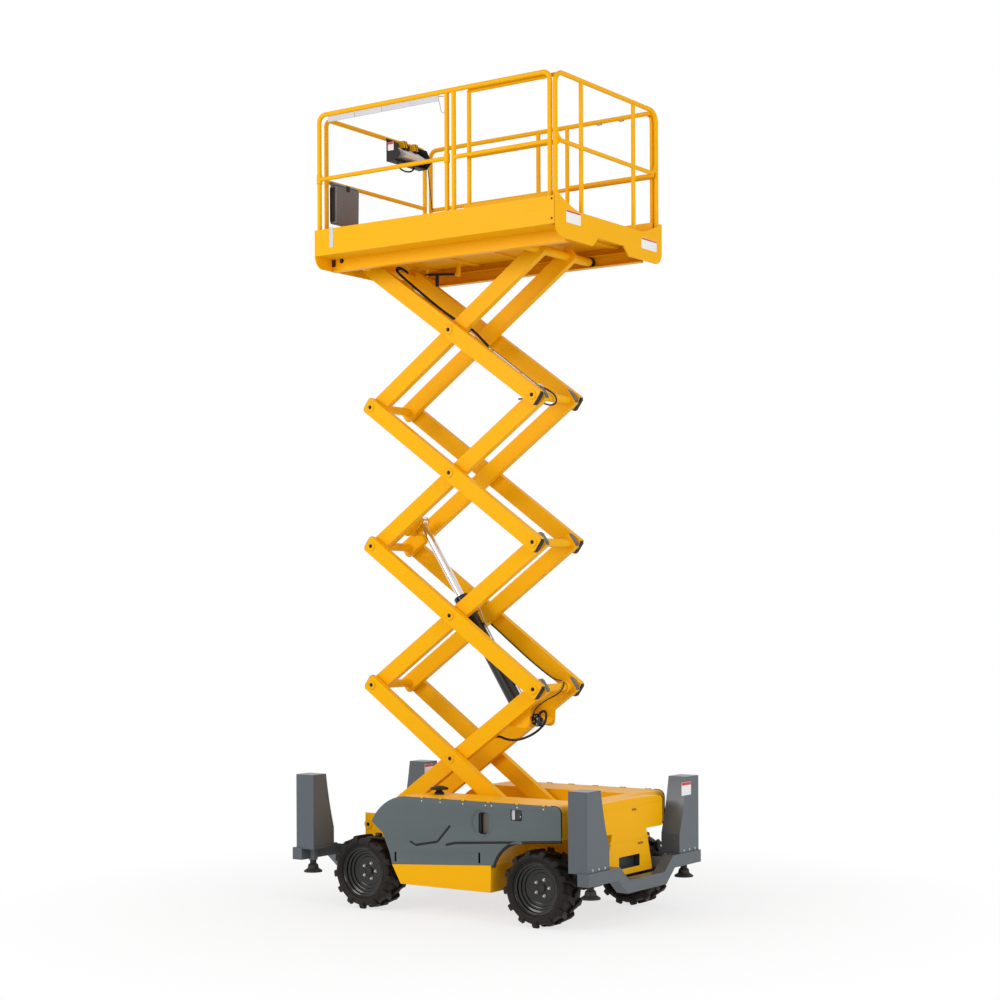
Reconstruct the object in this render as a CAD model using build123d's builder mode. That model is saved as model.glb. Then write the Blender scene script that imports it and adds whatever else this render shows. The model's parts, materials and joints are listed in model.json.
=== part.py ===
from build123d import *

import math
import os

# Rough-terrain scissor lift: chassis, four scissor stages, platform with a roll-out deck.
# X runs along the machine, with the steered end at +X. Y runs across it and Z is up.
# The origin is on the ground under the middle of the machine. Millimetres throughout.

os.makedirs("parts", exist_ok=True)

# ---------------------------------------------------------------- driving dimensions
PLATE = 8.0                     # frame and bracket plate
SHEET = 4.0                     # folded sheet covers
SEAT_GAP = 0.3                  # between pieces that seat on each other
PIN_FIT = 0.05                  # radial clearance of a pin in its bore
SIDES = (-1, 1)                 # near side (-Y) and far side (+Y)

# scissor linkage
ARM_LEN = 2230.0                # between an arm's end pivots
REST_ANGLE = 35.5               # of every arm to the ground, in degrees
ARM_DEPTH = 150.0
ARM_W = 64.0
ARM_WALL = 6.0
ARM_TAIL = 62.0                 # an arm's end beyond its pivot
ARM_END_R = 26.0                # rounding of an arm's end
INNER_ARM_Y = 242.0             # middle planes of the two arm pairs
OUTER_ARM_Y = 322.0
PIVOT_X = -ARM_LEN / 2 - 37     # fixed lower pivot
PIVOT_Z = 703.0
STAGES = 4
RAISED_ANGLE = 49.4             # of every arm at full height
PIN_R = 30.0
BOSS_R = 50.0
TUBE_R = 38.0                   # cross tubes between a pair of arms
ROLLER_R = 45.0
CAP_R = 43.0
CAP_T = 8.0

RISE = ARM_LEN * math.sin(math.radians(REST_ANGLE))
SPAN = ARM_LEN * math.cos(math.radians(REST_ANGLE))
FAR_X = PIVOT_X + SPAN
TOP_Z = PIVOT_Z + STAGES * RISE

# lift cylinder, in the lines of arms 1 and 3: distance along, distance above
CYL_BASE = (1795.0, -75.0)
CYL_EYE = (400.0, 0.0)
BARREL_R = 68.0
BARREL_BORE_R = 58.0
ROD_R = 38.0
EYE_R = 52.0
EYE_W = 70.0
BARREL_LEN = 1340.0
EAR_T = 16.0
EAR_R = 46.0
EAR_GAP = 8.0                   # each side of the cylinder's eyes
EAR_Y = EYE_W / 2 + EAR_GAP
PIN_CAP_R = 34.0
BASE_TUBE = (1895.0, -138.0)    # cross tubes that carry the cylinder's ears
EYE_TUBE = (245.0, 0.0)
GUSSET_R = 52.0
GUSSET_T = 8.0
GLAND_R = 74.0
GLAND_LEN = 80.0
BORE_START = 88.0               # solid end of the barrel, from its base pin
CYL_PIN_R = 24.0
NECK_R = 34.0
ROD_LEN = 1330.0

# running gear
WHEELBASE = ARM_LEN - 350       # the folded arms lie over the wheels
AXLE_MID_X = 80.0               # middle of the wheelbase
TRACK = 1480.0                  # between the tyres' middle planes
TYRE_R = 333.0                  # out to the lug tips
TYRE_W = 300.0
LUG_H = 27.0                    # of the lugs above the tyre's casing
LUG_COUNT = 13                  # in each of a tyre's two rows
RIM_R = 232.0                   # rim flange
RIM_BARREL_R = 210.0
RIM_W = 230.0
HUB_R = 92.0                    # planetary hub behind the wheel disc
KINGPIN_Y = 600.0
KINGPIN_R = 22.0
AXLE_TUBE_R = 58.0
FRONT_X = AXLE_MID_X + WHEELBASE / 2
REAR_X = AXLE_MID_X - WHEELBASE / 2

# chassis
FRAME_Y = 400.0                 # inner face of the frame's side plates
FRAME_X0 = PIVOT_X - 38
FRAME_Z0 = 450.0
FRAME_Z1 = 810.0
BELLY_T = 8.0
ROLLER_PLAY = 1.0               # between a roller and its track
TRACK_SPARE = 64.0              # track left behind a roller at full height
TRACK_X0 = PIVOT_X + ARM_LEN * math.cos(math.radians(RAISED_ANGLE)) - ROLLER_R - TRACK_SPARE
TRACK_X1 = PIVOT_X + ARM_LEN + ARM_TAIL
TRACK_W = 36.0
HOOD_BACK_X = TRACK_X1 + 25     # bulkhead at the end of the scissor well
CABINET_Y = 856.0               # outer edge of the side cabinets
COVER_Y = 870.0                 # outer face of covers and sills
CABINET_TOP = 1045.0
CABINET_X1 = HOOD_BACK_X + 120
FRAME_X1 = CABINET_X1
SILL_Z0 = 265.0
SEAM_REAR_Z = 431.0             # seam over the sill, which rises to the front
SEAM_FRONT_Z = 500.0
HOOD_X0 = CABINET_X1 + SEAT_GAP
HOOD_X1 = CABINET_X1 + 145
HOOD_Y = 570.0
HOOD_NECK_Z = 764.0             # where the hood narrows
HOOD_NECK_Y = 290.0
HOOD_FOOT_Y = 392.0
HOOD_Z0 = 395.0

# stabilisers and bumpers
LEG_R = 30.0
HOUSING_R = 42.0
HOUSING_Z0 = 396.0
HOUSING_Z1 = 1040.0
FOOT_R = 85.0
FOOT_Z = 283.0
COVER_Z1 = 1190.0
STAB_Y = 945.0                  # outer faces of the stabiliser covers
BEAM_Y = 955.0
BEAM_H = 110.0
BEAM_T = 110.0
BEAM_TOP = 515.0                # top of the beams' outer ends
BEAM_DROP = 127.0               # how much lower their middle runs
CRANK_IN = 300.0                # where the crank starts and ends
CRANK_OUT = 450.0
END_X = HOOD_X1 + 180           # outer face of the bumper beams
LASH_Y = 200.0
LASH_R = 16.0

# platform
DECK_Z = TOP_Z + 137.13         # walking surface
DECK_T = 25.0
PLAT_X0 = PIVOT_X - 223
DECK_X1 = PIVOT_X + ARM_LEN + 131     # front edge of the fixed deck
TOE_X1 = DECK_X1 + 42           # front edge of its toe boards
PLAT_Y = 882.0                  # outer face of the toe boards
TOE_T = 12.0
TOE_Z0 = DECK_Z - 80
TOE_Z1 = DECK_Z + 158
PAN_T = 8.0                     # closing pan between toe board and channel
CHANNEL_Y = 640.0               # inner face of the channel web
CHANNEL_Z0 = DECK_Z - 190
CHANNEL_T = 8.0
CHANNEL_FLANGE = 60.0
RIB_W = 60.0
RIB_T = 16.0
RIB_COUNT = 5

# guardrails
RAIL_R = 21.0                   # posts and top rails
MID_RAIL_R = 19.0
RAIL_H = 1212.0                 # middle of the top rail above the deck
MID_RAIL_H = 625.0
RAIL_TOP = DECK_Z + RAIL_H
RAIL_MID = DECK_Z + MID_RAIL_H
RAIL_BEND = 70.0
REAR_TOP = RAIL_TOP - 17
REAR_Y = 750.0                  # posts of the rear guardrail
MID_POST_X = 186.0
BAR_POST_X = 111.0              # posts that the entry bar slides on: this and the corner
FRONT_POST_X = DECK_X1 - RAIL_R
FAR_POST_X = -60.0
SLEEVE_R = 27.0
SLEEVE_H = 80.0
STRIP_X0 = PLAT_X0 + 135        # pale strip under the near top rail
STRIP_X1 = BAR_POST_X - 81
STRIP_H = 55.0
STRIP_T = 10.0

# roll-out deck
EXT_X0 = MID_POST_X + 80        # rear edge
EXT_Y = 806.0                   # inner face of its toe boards
EXT_T = 16.0
EXT_TOE_T = 6.0
EXT_TOE_Z1 = DECK_Z + 202
ARCH_X = DECK_X1 + 26           # plane of its end guardrail
ARCH_Y = 839.0
ARCH_BEND = 110.0
ARCH_POST_Y = 435.0
ARCH_MID = RAIL_MID + 15
END_SHEET_T = 12.0
END_DIP = 118.0                 # how far the end sheet's top edge drops
NOTCH_Z = DECK_Z - 105
NOTCH_TOP = 210.0
NOTCH_FOOT = 300.0
CORNER_CUT = 110.0

# boxes on the rear guardrail
CONTROL_Y0 = 110.0
CONTROL_Y1 = 640.0
CONTROL_Z0 = REAR_TOP - 225
PAPERS_Y = -560.0
PAPERS_W = 330.0
PAPERS_D = 84.0
PAPERS_Z0 = RAIL_MID - 387


def at_y(y):
    """A sketch plane facing -Y, with X across and Z up, at the given y."""
    return Plane.XZ.offset(-y)


def at_x(x):
    """A sketch plane facing +X, with Y across and Z up, at the given x."""
    return Plane.YZ.offset(x)


def arm_plane(y, start, end):
    """A sketch plane at y whose x axis runs from one arm pivot to the other."""
    along = Vector(end[0] - start[0], 0, end[1] - start[1]).normalized()
    return Plane(origin=(start[0], y, start[1]), x_dir=along, z_dir=(0, -1, 0))


def disc(point, y, radius, bore=0.0):
    """A round sketch at y around a point given as (x, z), facing -Y."""
    with BuildSketch(at_y(y)) as sketch:
        with Locations(point):
            Circle(radius)
            if bore:
                Circle(bore, mode=Mode.SUBTRACT)
    return sketch.sketch


def arm_pair(start, end, mid_y, bore=0.0):
    """Adds two open rectangular tubes with a boss at each pivot."""
    pivots = ((0, 0), (ARM_LEN / 2, 0), (ARM_LEN, 0))
    length = ARM_LEN + 2 * ARM_TAIL
    for side in SIDES:
        plane = arm_plane(side * mid_y + ARM_W / 2, start, end)
        with BuildSketch(plane) as outline:
            with Locations((ARM_LEN / 2, 0)):
                Rectangle(length, ARM_DEPTH)
            fillet(outline.vertices(), ARM_END_R)
        extrude(outline.sketch, amount=ARM_W)
        with BuildSketch(plane.offset(ARM_WALL)) as hollow:
            with Locations((ARM_LEN / 2, 0)):
                Rectangle(length, ARM_DEPTH - 2 * ARM_WALL)
        extrude(hollow.sketch, amount=ARM_W - 2 * ARM_WALL, mode=Mode.SUBTRACT)
        with BuildSketch(plane) as bosses:
            with Locations(*pivots):
                Circle(BOSS_R)
        extrude(bosses.sketch, amount=ARM_W)
        if bore:
            with BuildSketch(plane) as bores:
                with Locations(*pivots):
                    Circle(bore)
            extrude(bores.sketch, amount=ARM_W, mode=Mode.SUBTRACT)


def on_arm(foot, spot):
    """The (x, z) of a spot given along and above an inner arm that starts at foot."""
    angle = math.radians(REST_ANGLE)
    along, above = spot
    return (
        foot[0] + along * math.cos(angle) - above * math.sin(angle),
        foot[1] + along * math.sin(angle) + above * math.cos(angle),
    )


def cylinder_mount(foot, pin_spot, tube_spot, pinned):
    """Adds a cross tube with two ears for the lift cylinder, its gussets and, if pinned, its pin."""
    pin = on_arm(foot, pin_spot)
    tube = on_arm(foot, tube_spot)
    extrude(disc(tube, 0, TUBE_R), amount=INNER_ARM_Y - ARM_W / 2 + 1, both=True)
    if pinned:
        extrude(disc(pin, 0, CYL_PIN_R), amount=EAR_Y + EAR_T, both=True)
    for side in SIDES:
        with BuildSketch(at_y(side * EAR_Y)) as ear:
            make_hull([Edge.make_circle(EAR_R, Plane(origin=(*pin, 0))),
                       Edge.make_circle(EAR_R, Plane(origin=(*tube, 0)))])
        extrude(ear.sketch, amount=-side * EAR_T)
        extrude(disc(pin, side * (EAR_Y + EAR_T), PIN_CAP_R), amount=-side * CAP_T)
        with BuildSketch(at_y(side * (INNER_ARM_Y - ARM_W / 2))) as gusset:
            make_hull([Edge.make_circle(GUSSET_R, Plane(origin=(*tube, 0))),
                       Edge.make_circle(GUSSET_R, Plane(origin=(*on_arm(foot, (tube_spot[0] - 130, -30)), 0))),
                       Edge.make_circle(GUSSET_R, Plane(origin=(*on_arm(foot, (tube_spot[0] + 90, -30)), 0)))])
        extrude(gusset.sketch, amount=side * GUSSET_T)


def stage_ends(stage):
    """The lower-left, upper-right, lower-right and upper-left pivots of a stage."""
    low = PIVOT_Z + stage * RISE
    high = low + RISE
    return (PIVOT_X, low), (FAR_X, high), (FAR_X, low), (PIVOT_X, high)


# ---------------------------------------------------------------- inner arm frames
# Each carries the pins of its own middle, of the outer arms that hang from its foot
# and of the next stage's outer arms at its head.
PIN_END = OUTER_ARM_Y + ARM_W / 2 + SEAT_GAP      # where a pin's cap begins
SPACER_END = OUTER_ARM_Y - ARM_W / 2 - SEAT_GAP
SLIDER_Y = CHANNEL_Y - 10
for stage in range(STAGES):
    foot, head, _, _ = stage_ends(stage)
    middle = ((foot[0] + head[0]) / 2, (foot[1] + head[1]) / 2)
    name = f"inner_arms_{stage + 1}"
    in_chassis = stage == 0
    in_platform = stage == STAGES - 1
    # pivot, pin radius, outer end of the pin
    pins = (
        (foot, PIN_R, FRAME_Y + PLATE + SEAT_GAP if in_chassis else PIN_END),
        (middle, PIN_R, PIN_END),
        (head, TUBE_R if in_platform else PIN_R, SLIDER_Y if in_platform else PIN_END),
    )
    with BuildPart() as inner_arms:
        arm_pair(foot, head, INNER_ARM_Y)
        for pivot, radius, pin_end in pins:
            for side in SIDES:
                arm_y = side * INNER_ARM_Y
                extrude(disc(pivot, arm_y, radius), amount=-side * (pin_end - INNER_ARM_Y))
                if pivot != head or not in_platform:
                    extrude(disc(pivot, side * pin_end, CAP_R), amount=-side * CAP_T)
                if not (pivot == foot and in_chassis) and not (pivot == head and in_platform):
                    extrude(disc(pivot, arm_y, BOSS_R), amount=-side * (SPACER_END - INNER_ARM_Y))
        for pivot in (foot, head):
            extrude(disc(pivot, 0, TUBE_R), amount=INNER_ARM_Y, both=True)
        if stage == 0:
            cylinder_mount(foot, CYL_BASE, BASE_TUBE, True)
        if stage == 2:
            cylinder_mount(foot, CYL_EYE, EYE_TUBE, False)
    inner_arms.part.label = name
    export_step(inner_arms.part, f"parts/{name}.step")

# ---------------------------------------------------------------- outer arm frames
for stage in range(STAGES):
    _, _, foot, head = stage_ends(stage)
    name = f"outer_arms_{stage + 1}"
    with BuildPart() as outer_arms:
        arm_pair(foot, head, OUTER_ARM_Y, bore=PIN_R + PIN_FIT)
        if stage == 0:
            # tube across the feet, with a roller stub each side
            extrude(disc(foot, 0, PIN_R), amount=FRAME_Y - 6, both=True)
            extrude(disc(foot, 0, TUBE_R), amount=OUTER_ARM_Y, both=True)
        if stage == STAGES - 1:
            extrude(disc(head, 0, PIN_R), amount=CHANNEL_Y + PLATE, both=True)
            extrude(disc(head, 0, TUBE_R), amount=OUTER_ARM_Y, both=True)
    outer_arms.part.label = name
    export_step(outer_arms.part, f"parts/{name}.step")

# ---------------------------------------------------------------- rollers and sliders
lower_right = (FAR_X, PIVOT_Z)
upper_right = (FAR_X, TOP_Z)
with BuildPart() as track_rollers:
    for side in SIDES:
        extrude(disc(lower_right, side * (FRAME_Y - 4), ROLLER_R, PIN_R + PIN_FIT), amount=side * 34)
track_rollers.part.label = "track_rollers"
export_step(track_rollers.part, "parts/track_rollers.step")

with BuildPart() as slide_blocks:
    for side in SIDES:
        extrude(disc(upper_right, side * (CHANNEL_Y - 4), ROLLER_R - 1, TUBE_R + PIN_FIT), amount=side * 46)
slide_blocks.part.label = "slide_blocks"
export_step(slide_blocks.part, "parts/slide_blocks.step")

# ---------------------------------------------------------------- lift cylinder
base_pin = on_arm((PIVOT_X, PIVOT_Z), CYL_BASE)
eye_pin = on_arm((PIVOT_X, PIVOT_Z + 2 * RISE), CYL_EYE)
CYL_LEN = math.hypot(eye_pin[0] - base_pin[0], eye_pin[1] - base_pin[1])
cyl_dir = Vector(eye_pin[0] - base_pin[0], 0, eye_pin[1] - base_pin[1]).normalized()
# profile plane: x along the cylinder, y the radius
cyl_plane = Plane(origin=(base_pin[0], 0, base_pin[1]), x_dir=cyl_dir, z_dir=(0, -1, 0))
cyl_axis = Axis((base_pin[0], 0, base_pin[1]), cyl_dir)
with BuildPart() as lift_barrel:
    with BuildSketch(cyl_plane):
        with BuildLine():
            Polyline((0, 0), (0, NECK_R), (EAR_R + 12, NECK_R), (EAR_R + 12, BARREL_R),
                     (BARREL_LEN - GLAND_LEN - 20, BARREL_R), (BARREL_LEN - GLAND_LEN - 20, GLAND_R),
                     (BARREL_LEN, GLAND_R), (BARREL_LEN, ROD_R + PIN_FIT), (BARREL_LEN - GLAND_LEN, ROD_R + PIN_FIT),
                     (BARREL_LEN - GLAND_LEN, BARREL_BORE_R), (BORE_START, BARREL_BORE_R), (BORE_START, 0),
                     close=True)
        make_face()
    revolve(axis=cyl_axis)
    extrude(disc(base_pin, 0, EYE_R), amount=EYE_W / 2, both=True)
    extrude(disc(base_pin, 0, CYL_PIN_R + PIN_FIT), amount=EYE_W, both=True, mode=Mode.SUBTRACT)
lift_barrel.part.label = "lift_cylinder_barrel"
export_step(lift_barrel.part, "parts/lift_cylinder_barrel.step")

with BuildPart() as lift_rod:
    with BuildSketch(cyl_plane):
        with BuildLine():
            Polyline((CYL_LEN - ROD_LEN, 0), (CYL_LEN - ROD_LEN, BARREL_BORE_R - SEAT_GAP),
                     (CYL_LEN - ROD_LEN + 50, BARREL_BORE_R - SEAT_GAP), (CYL_LEN - ROD_LEN + 50, ROD_R),
                     (CYL_LEN - 20, ROD_R), (CYL_LEN - 20, 0), close=True)
        make_face()
    revolve(axis=cyl_axis)
    extrude(disc(eye_pin, 0, EYE_R - 4), amount=EYE_W / 2, both=True)
    # the pin stays in the rod's eye and ends just inside the ears
    extrude(disc(eye_pin, 0, CYL_PIN_R), amount=EAR_Y - SEAT_GAP, both=True)
lift_rod.part.label = "lift_cylinder_rod"
export_step(lift_rod.part, "parts/lift_cylinder_rod.step")

# ---------------------------------------------------------------- chassis frame
with BuildPart() as chassis:
    for side in SIDES:
        with BuildSketch(at_y(side * FRAME_Y)):
            with BuildLine():
                Polyline((FRAME_X0, FRAME_Z0 + 60), (FRAME_X0 + 90, FRAME_Z0), (FRAME_X1, FRAME_Z0),
                         (FRAME_X1, FRAME_Z1 - 60), (HOOD_BACK_X, FRAME_Z1), (FRAME_X0, FRAME_Z1), close=True)
            make_face()
            with Locations((PIVOT_X, PIVOT_Z)):
                Circle(PIN_R + PIN_FIT, mode=Mode.SUBTRACT)
        extrude(amount=-side * PLATE)
        # the roller's track: a flange above and a flange below
        reach = ROLLER_R + ROLLER_PLAY
        with BuildSketch(at_y(side * (FRAME_Y + 1))):
            for level in (PIVOT_Z - reach - PLATE / 2, PIVOT_Z + reach + PLATE / 2):
                with Locations(((TRACK_X0 + TRACK_X1) / 2, level)):
                    Rectangle(TRACK_X1 - TRACK_X0, PLATE)
        extrude(amount=side * (TRACK_W + 1))
    with BuildSketch(Plane.XY.offset(FRAME_Z0)):
        with Locations(((FRAME_X0 + 90 + FRAME_X1) / 2, 0)):
            Rectangle(FRAME_X1 - FRAME_X0 - 90, 2 * FRAME_Y + PLATE)
    extrude(amount=BELLY_T)
    # bulkhead at the end of the scissor well, and the plate from it to the hood
    with BuildSketch(at_x(HOOD_BACK_X)):
        with Locations((0, (FRAME_Z0 + CABINET_TOP) / 2)):
            Rectangle(2 * FRAME_Y - 10, CABINET_TOP - FRAME_Z0)
    extrude(amount=-PLATE)
    with BuildSketch(Plane.XY.offset(CABINET_TOP - PLATE)):
        with Locations(((HOOD_BACK_X - PLATE + CABINET_X1) / 2, 0)):
            Rectangle(CABINET_X1 - HOOD_BACK_X + PLATE, 2 * FRAME_Y)
    extrude(amount=PLATE)
    with BuildSketch(at_x(FRAME_X0 + 90)):
        with Locations((0, FRAME_Z0 + 70)):
            Rectangle(2 * FRAME_Y + PLATE, 140)
    extrude(amount=PLATE)
    # plate ends tied to the bulkhead's foot
    with BuildSketch(at_x(HOOD_BACK_X)):
        with Locations((0, FRAME_Z0 + 80)):
            Rectangle(2 * FRAME_Y + PLATE, 160)
    extrude(amount=-PLATE)
chassis.part.label = "chassis_frame"
export_step(chassis.part, "parts/chassis_frame.step")

# ---------------------------------------------------------------- side cabinets and covers


# the front wheel arch, from the wheel's centre: where it starts, its middle and its top
FRONT_ARCH = ((-433.0, 167.0), (-330.0, 323.0), (-153.0, 395.0))
# the cabinet's rear end, from the rear wheel's centre: tip, two bends, foot of the cover
REAR_TIP = (110.0, 467.0)
REAR_BENDS = ((238.0, 373.0), (317.0, 204.0))
SILL_REAR = 346.0               # ends of the seam and of the sill's foot, from the wheels' centres
SILL_FRONT = -454.0
FOOT_REAR = 443.0
FOOT_FRONT = -460.0
TOP_BACK = 480.0                # where the top's curve down to the tip starts, and its middle
TOP_CURVE = (270.0, -70.0)
TOP_BEND = 60.0


def from_wheel(wheel_x, offset):
    """A point given from a wheel's centre."""
    return (wheel_x + offset[0], TYRE_R + offset[1])


SEAM_REAR = (REAR_X + SILL_REAR, SEAM_REAR_Z)
SEAM_FRONT = (FRONT_X + SILL_FRONT, SEAM_FRONT_Z)
SILL = (SEAM_REAR, (REAR_X + FOOT_REAR, SILL_Z0), (FRONT_X + FOOT_FRONT, SILL_Z0), SEAM_FRONT)


def side_outline(inset=0.0, seam=None):
    """The outline of a side cabinet with its sill, or of the part above the seam over the sill."""
    lift = seam or 0
    arch = [from_wheel(FRONT_X, offset) for offset in FRONT_ARCH]
    arch_foot = (arch[0][0], arch[0][1] + lift)
    tip = from_wheel(REAR_X, REAR_TIP)
    back = (REAR_X + TOP_BACK, CABINET_TOP)
    with BuildSketch(Plane.XY) as outline:
        with BuildLine():
            if seam is None:
                Polyline(*SILL)
            else:
                Line((SEAM_REAR[0], SEAM_REAR[1] + lift), (SEAM_FRONT[0], SEAM_FRONT[1] + lift))
            Line((SEAM_FRONT[0], SEAM_FRONT[1] + lift), arch_foot)
            ThreePointArc(arch_foot, arch[1], arch[2])
            Polyline(arch[2], (CABINET_X1, arch[2][1] + 34), (CABINET_X1, CABINET_TOP - TOP_BEND))
            RadiusArc((CABINET_X1, CABINET_TOP - TOP_BEND), (CABINET_X1 - TOP_BEND, CABINET_TOP), -TOP_BEND)
            Line((CABINET_X1 - TOP_BEND, CABINET_TOP), back)
            ThreePointArc(back, (REAR_X + TOP_CURVE[0], CABINET_TOP + TOP_CURVE[1]), tip)
            Polyline(tip, *[from_wheel(REAR_X, bend) for bend in REAR_BENDS], (SEAM_REAR[0], SEAM_REAR[1] + lift))
        make_face()
        if inset:
            offset(amount=-inset, mode=Mode.REPLACE)
    return outline.sketch


def on_side(sketch, y):
    """The XY sketch stood up at y, with its y axis along Z."""
    return at_y(y) * sketch


def along_hinge(mid_x, side, radius, length, mode=Mode.ADD):
    """Adds or cuts a cylinder on a side cover's hinge line."""
    with BuildSketch(Plane(origin=(mid_x, side * COVER_Y, CABINET_TOP), x_dir=(0, 1, 0), z_dir=(1, 0, 0))) as round_bar:
        Circle(radius)
    extrude(round_bar.sketch, amount=length / 2, both=True, mode=mode)


# grip recess of a side cover
GRIP_AT = (475.0, 862.0)
GRIP_R = 120.0
GRIP_DEPTH = 5.0
# x, z, width, height and corner radius of the holes through a cover: the grip, the window over
# the emergency switch, and two lift slots
COVER_HOLES = (
    (481.0, 858.0, 96.0, 190.0, 30.0),
    (830.0, 948.0, 118.0, 94.0, 10.0),
    (-476.0, 500.0, 20.0, 84.0, 9.0),
    (441.0, 556.0, 20.0, 88.0, 9.0),
)
# lines pressed into a cover
COVER_LINES = (
    ((-305.0, 646.0), (-248.0, 621.0), (-9.0, 666.0), (124.0, 809.0)),
    ((89.0, 645.0), (179.0, 668.0), (660.0, 704.0)),
)
LINE_W = 11.0
LINE_DEPTH = 4.0
# hinges along a cover's top edge, one at each x
HINGE_X = (-178.0, 27.0, 272.0, 540.0, 840.0, 1110.0)
HINGE_R = 6.0
HINGE_PIN_R = 3.0
HINGE_LEN = 30.0                # of the cabinet's knuckle, between two of the cover's
HINGE_LEAF = 24.0

# name, side
CABINETS = (("near", -1), ("far", 1))
for word, side in CABINETS:
    wall_y = FRAME_Y + PLATE + SEAT_GAP
    name = f"cabinet_{word}"
    with BuildPart() as cabinet:
        extrude(on_side(side_outline(), side * wall_y), amount=-side * (CABINET_Y - wall_y))
        extrude(on_side(side_outline(inset=SHEET + 1), side * (wall_y + SHEET)),
                amount=-side * CABINET_Y, mode=Mode.SUBTRACT)
        # sill skirt, flush with the cover above it
        with BuildSketch(at_y(side * (CABINET_Y - 1))):
            with BuildLine():
                Polyline(*SILL, close=True)
            make_face()
        extrude(amount=-side * (COVER_Y - CABINET_Y + 1))
        # hinge leaves on the top, each with its knuckle and pin
        for hinge_x in HINGE_X:
            with BuildSketch(Plane.XY.offset(CABINET_TOP)):
                with Locations((hinge_x, side * (COVER_Y - HINGE_LEAF / 2))):
                    Rectangle(HINGE_LEN, HINGE_LEAF)
            extrude(amount=HINGE_PIN_R)
            along_hinge(hinge_x, side, HINGE_R, HINGE_LEN)
            along_hinge(hinge_x, side, HINGE_PIN_R, 2 * HINGE_LEN)
    cabinet.part.label = name
    export_step(cabinet.part, f"parts/{name}.step")

    name = f"side_cover_{word}"
    with BuildPart() as cover:
        extrude(on_side(side_outline(seam=SEAT_GAP), side * (CABINET_Y + SEAT_GAP)),
                amount=-side * (COVER_Y - CABINET_Y - SEAT_GAP))
        # round grip recess, then the holes that go through
        extrude(disc(GRIP_AT, side * COVER_Y, GRIP_R), amount=side * GRIP_DEPTH, mode=Mode.SUBTRACT)
        with BuildSketch(at_y(side * (COVER_Y + 1))):
            for hole_x, hole_z, hole_w, hole_h, corner in COVER_HOLES:
                with Locations((hole_x, hole_z)):
                    RectangleRounded(hole_w, hole_h, corner)
        extrude(amount=side * (COVER_Y - CABINET_Y + 2), mode=Mode.SUBTRACT)
        # hinge knuckles, either side of the cabinet's
        for hinge_x in HINGE_X:
            along_hinge(hinge_x, side, HINGE_R, 2 * HINGE_LEN)
            along_hinge(hinge_x, side, HINGE_R + 2 * SEAT_GAP, HINGE_LEN + 2 * SEAT_GAP, Mode.SUBTRACT)
            along_hinge(hinge_x, side, HINGE_PIN_R + PIN_FIT, 3 * HINGE_LEN, Mode.SUBTRACT)
        # pressed lines
        for points in COVER_LINES:
            with BuildSketch(at_y(side * COVER_Y)):
                for start, end in zip(points, points[1:]):
                    make_hull([Edge.make_circle(LINE_W / 2, Plane(origin=(*start, 0))),
                               Edge.make_circle(LINE_W / 2, Plane(origin=(*end, 0)))])
            extrude(amount=side * LINE_DEPTH, mode=Mode.SUBTRACT)
    cover.part.label = name
    export_step(cover.part, f"parts/{name}.step")

# ---------------------------------------------------------------- engine and oil tank
# name, side, x range, depth in Y, height
BLOCKS = (
    ("engine_block", -1, -330.0, 330.0, 330.0, 560.0),
    ("oil_tank", 1, -330.0, 240.0, 340.0, 480.0),
)
for name, side, x0, x1, depth, height in BLOCKS:
    with BuildPart() as block:
        with BuildSketch(Plane.XY.offset(SILL_Z0 + SHEET + 1 + SEAT_GAP)):
            with Locations(((x0 + x1) / 2, side * (FRAME_Y + PLATE + SHEET + 20 + depth / 2))):
                Rectangle(x1 - x0, depth)
        extrude(amount=height)
        fillet(block.edges().filter_by(Axis.Z), 18)
    block.part.label = name
    export_step(block.part, f"parts/{name}.step")

# ---------------------------------------------------------------- end hood
def hood_outline(x, inset=0.0):
    """The hood's outline at x, full size or inset by a wall."""
    with BuildSketch(at_x(x)) as outline:
        with BuildLine():
            Polyline((-HOOD_FOOT_Y, HOOD_Z0), (HOOD_FOOT_Y, HOOD_Z0), (HOOD_NECK_Y, HOOD_NECK_Z),
                     (HOOD_Y, HOOD_NECK_Z), (HOOD_Y, CABINET_TOP - 70))
            RadiusArc((HOOD_Y, CABINET_TOP - 70), (HOOD_Y - 60, CABINET_TOP - 10), -60)
            ThreePointArc((HOOD_Y - 60, CABINET_TOP - 10), (0, CABINET_TOP), (60 - HOOD_Y, CABINET_TOP - 10))
            RadiusArc((60 - HOOD_Y, CABINET_TOP - 10), (-HOOD_Y, CABINET_TOP - 70), -60)
            Polyline((-HOOD_Y, CABINET_TOP - 70), (-HOOD_Y, HOOD_NECK_Z), (-HOOD_NECK_Y, HOOD_NECK_Z),
                     (-HOOD_FOOT_Y, HOOD_Z0))
        make_face()
        if inset:
            offset(amount=-inset, mode=Mode.REPLACE)
    return outline.sketch


with BuildPart() as hood:
    extrude(hood_outline(HOOD_X0), amount=HOOD_X1 - HOOD_X0)
    extrude(hood_outline(HOOD_X0, SHEET + 1), amount=HOOD_X1 - HOOD_X0 - SHEET, mode=Mode.SUBTRACT)
    # step hole through the front
    with BuildSketch(at_x(HOOD_X1 + 1)):
        with Locations((0, 500)):
            RectangleRounded(350, 105, 12)
    extrude(amount=-SHEET - 20, mode=Mode.SUBTRACT)
hood.part.label = "end_hood"
export_step(hood.part, "parts/end_hood.step")

# ---------------------------------------------------------------- bumper beams and stabilisers


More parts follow.
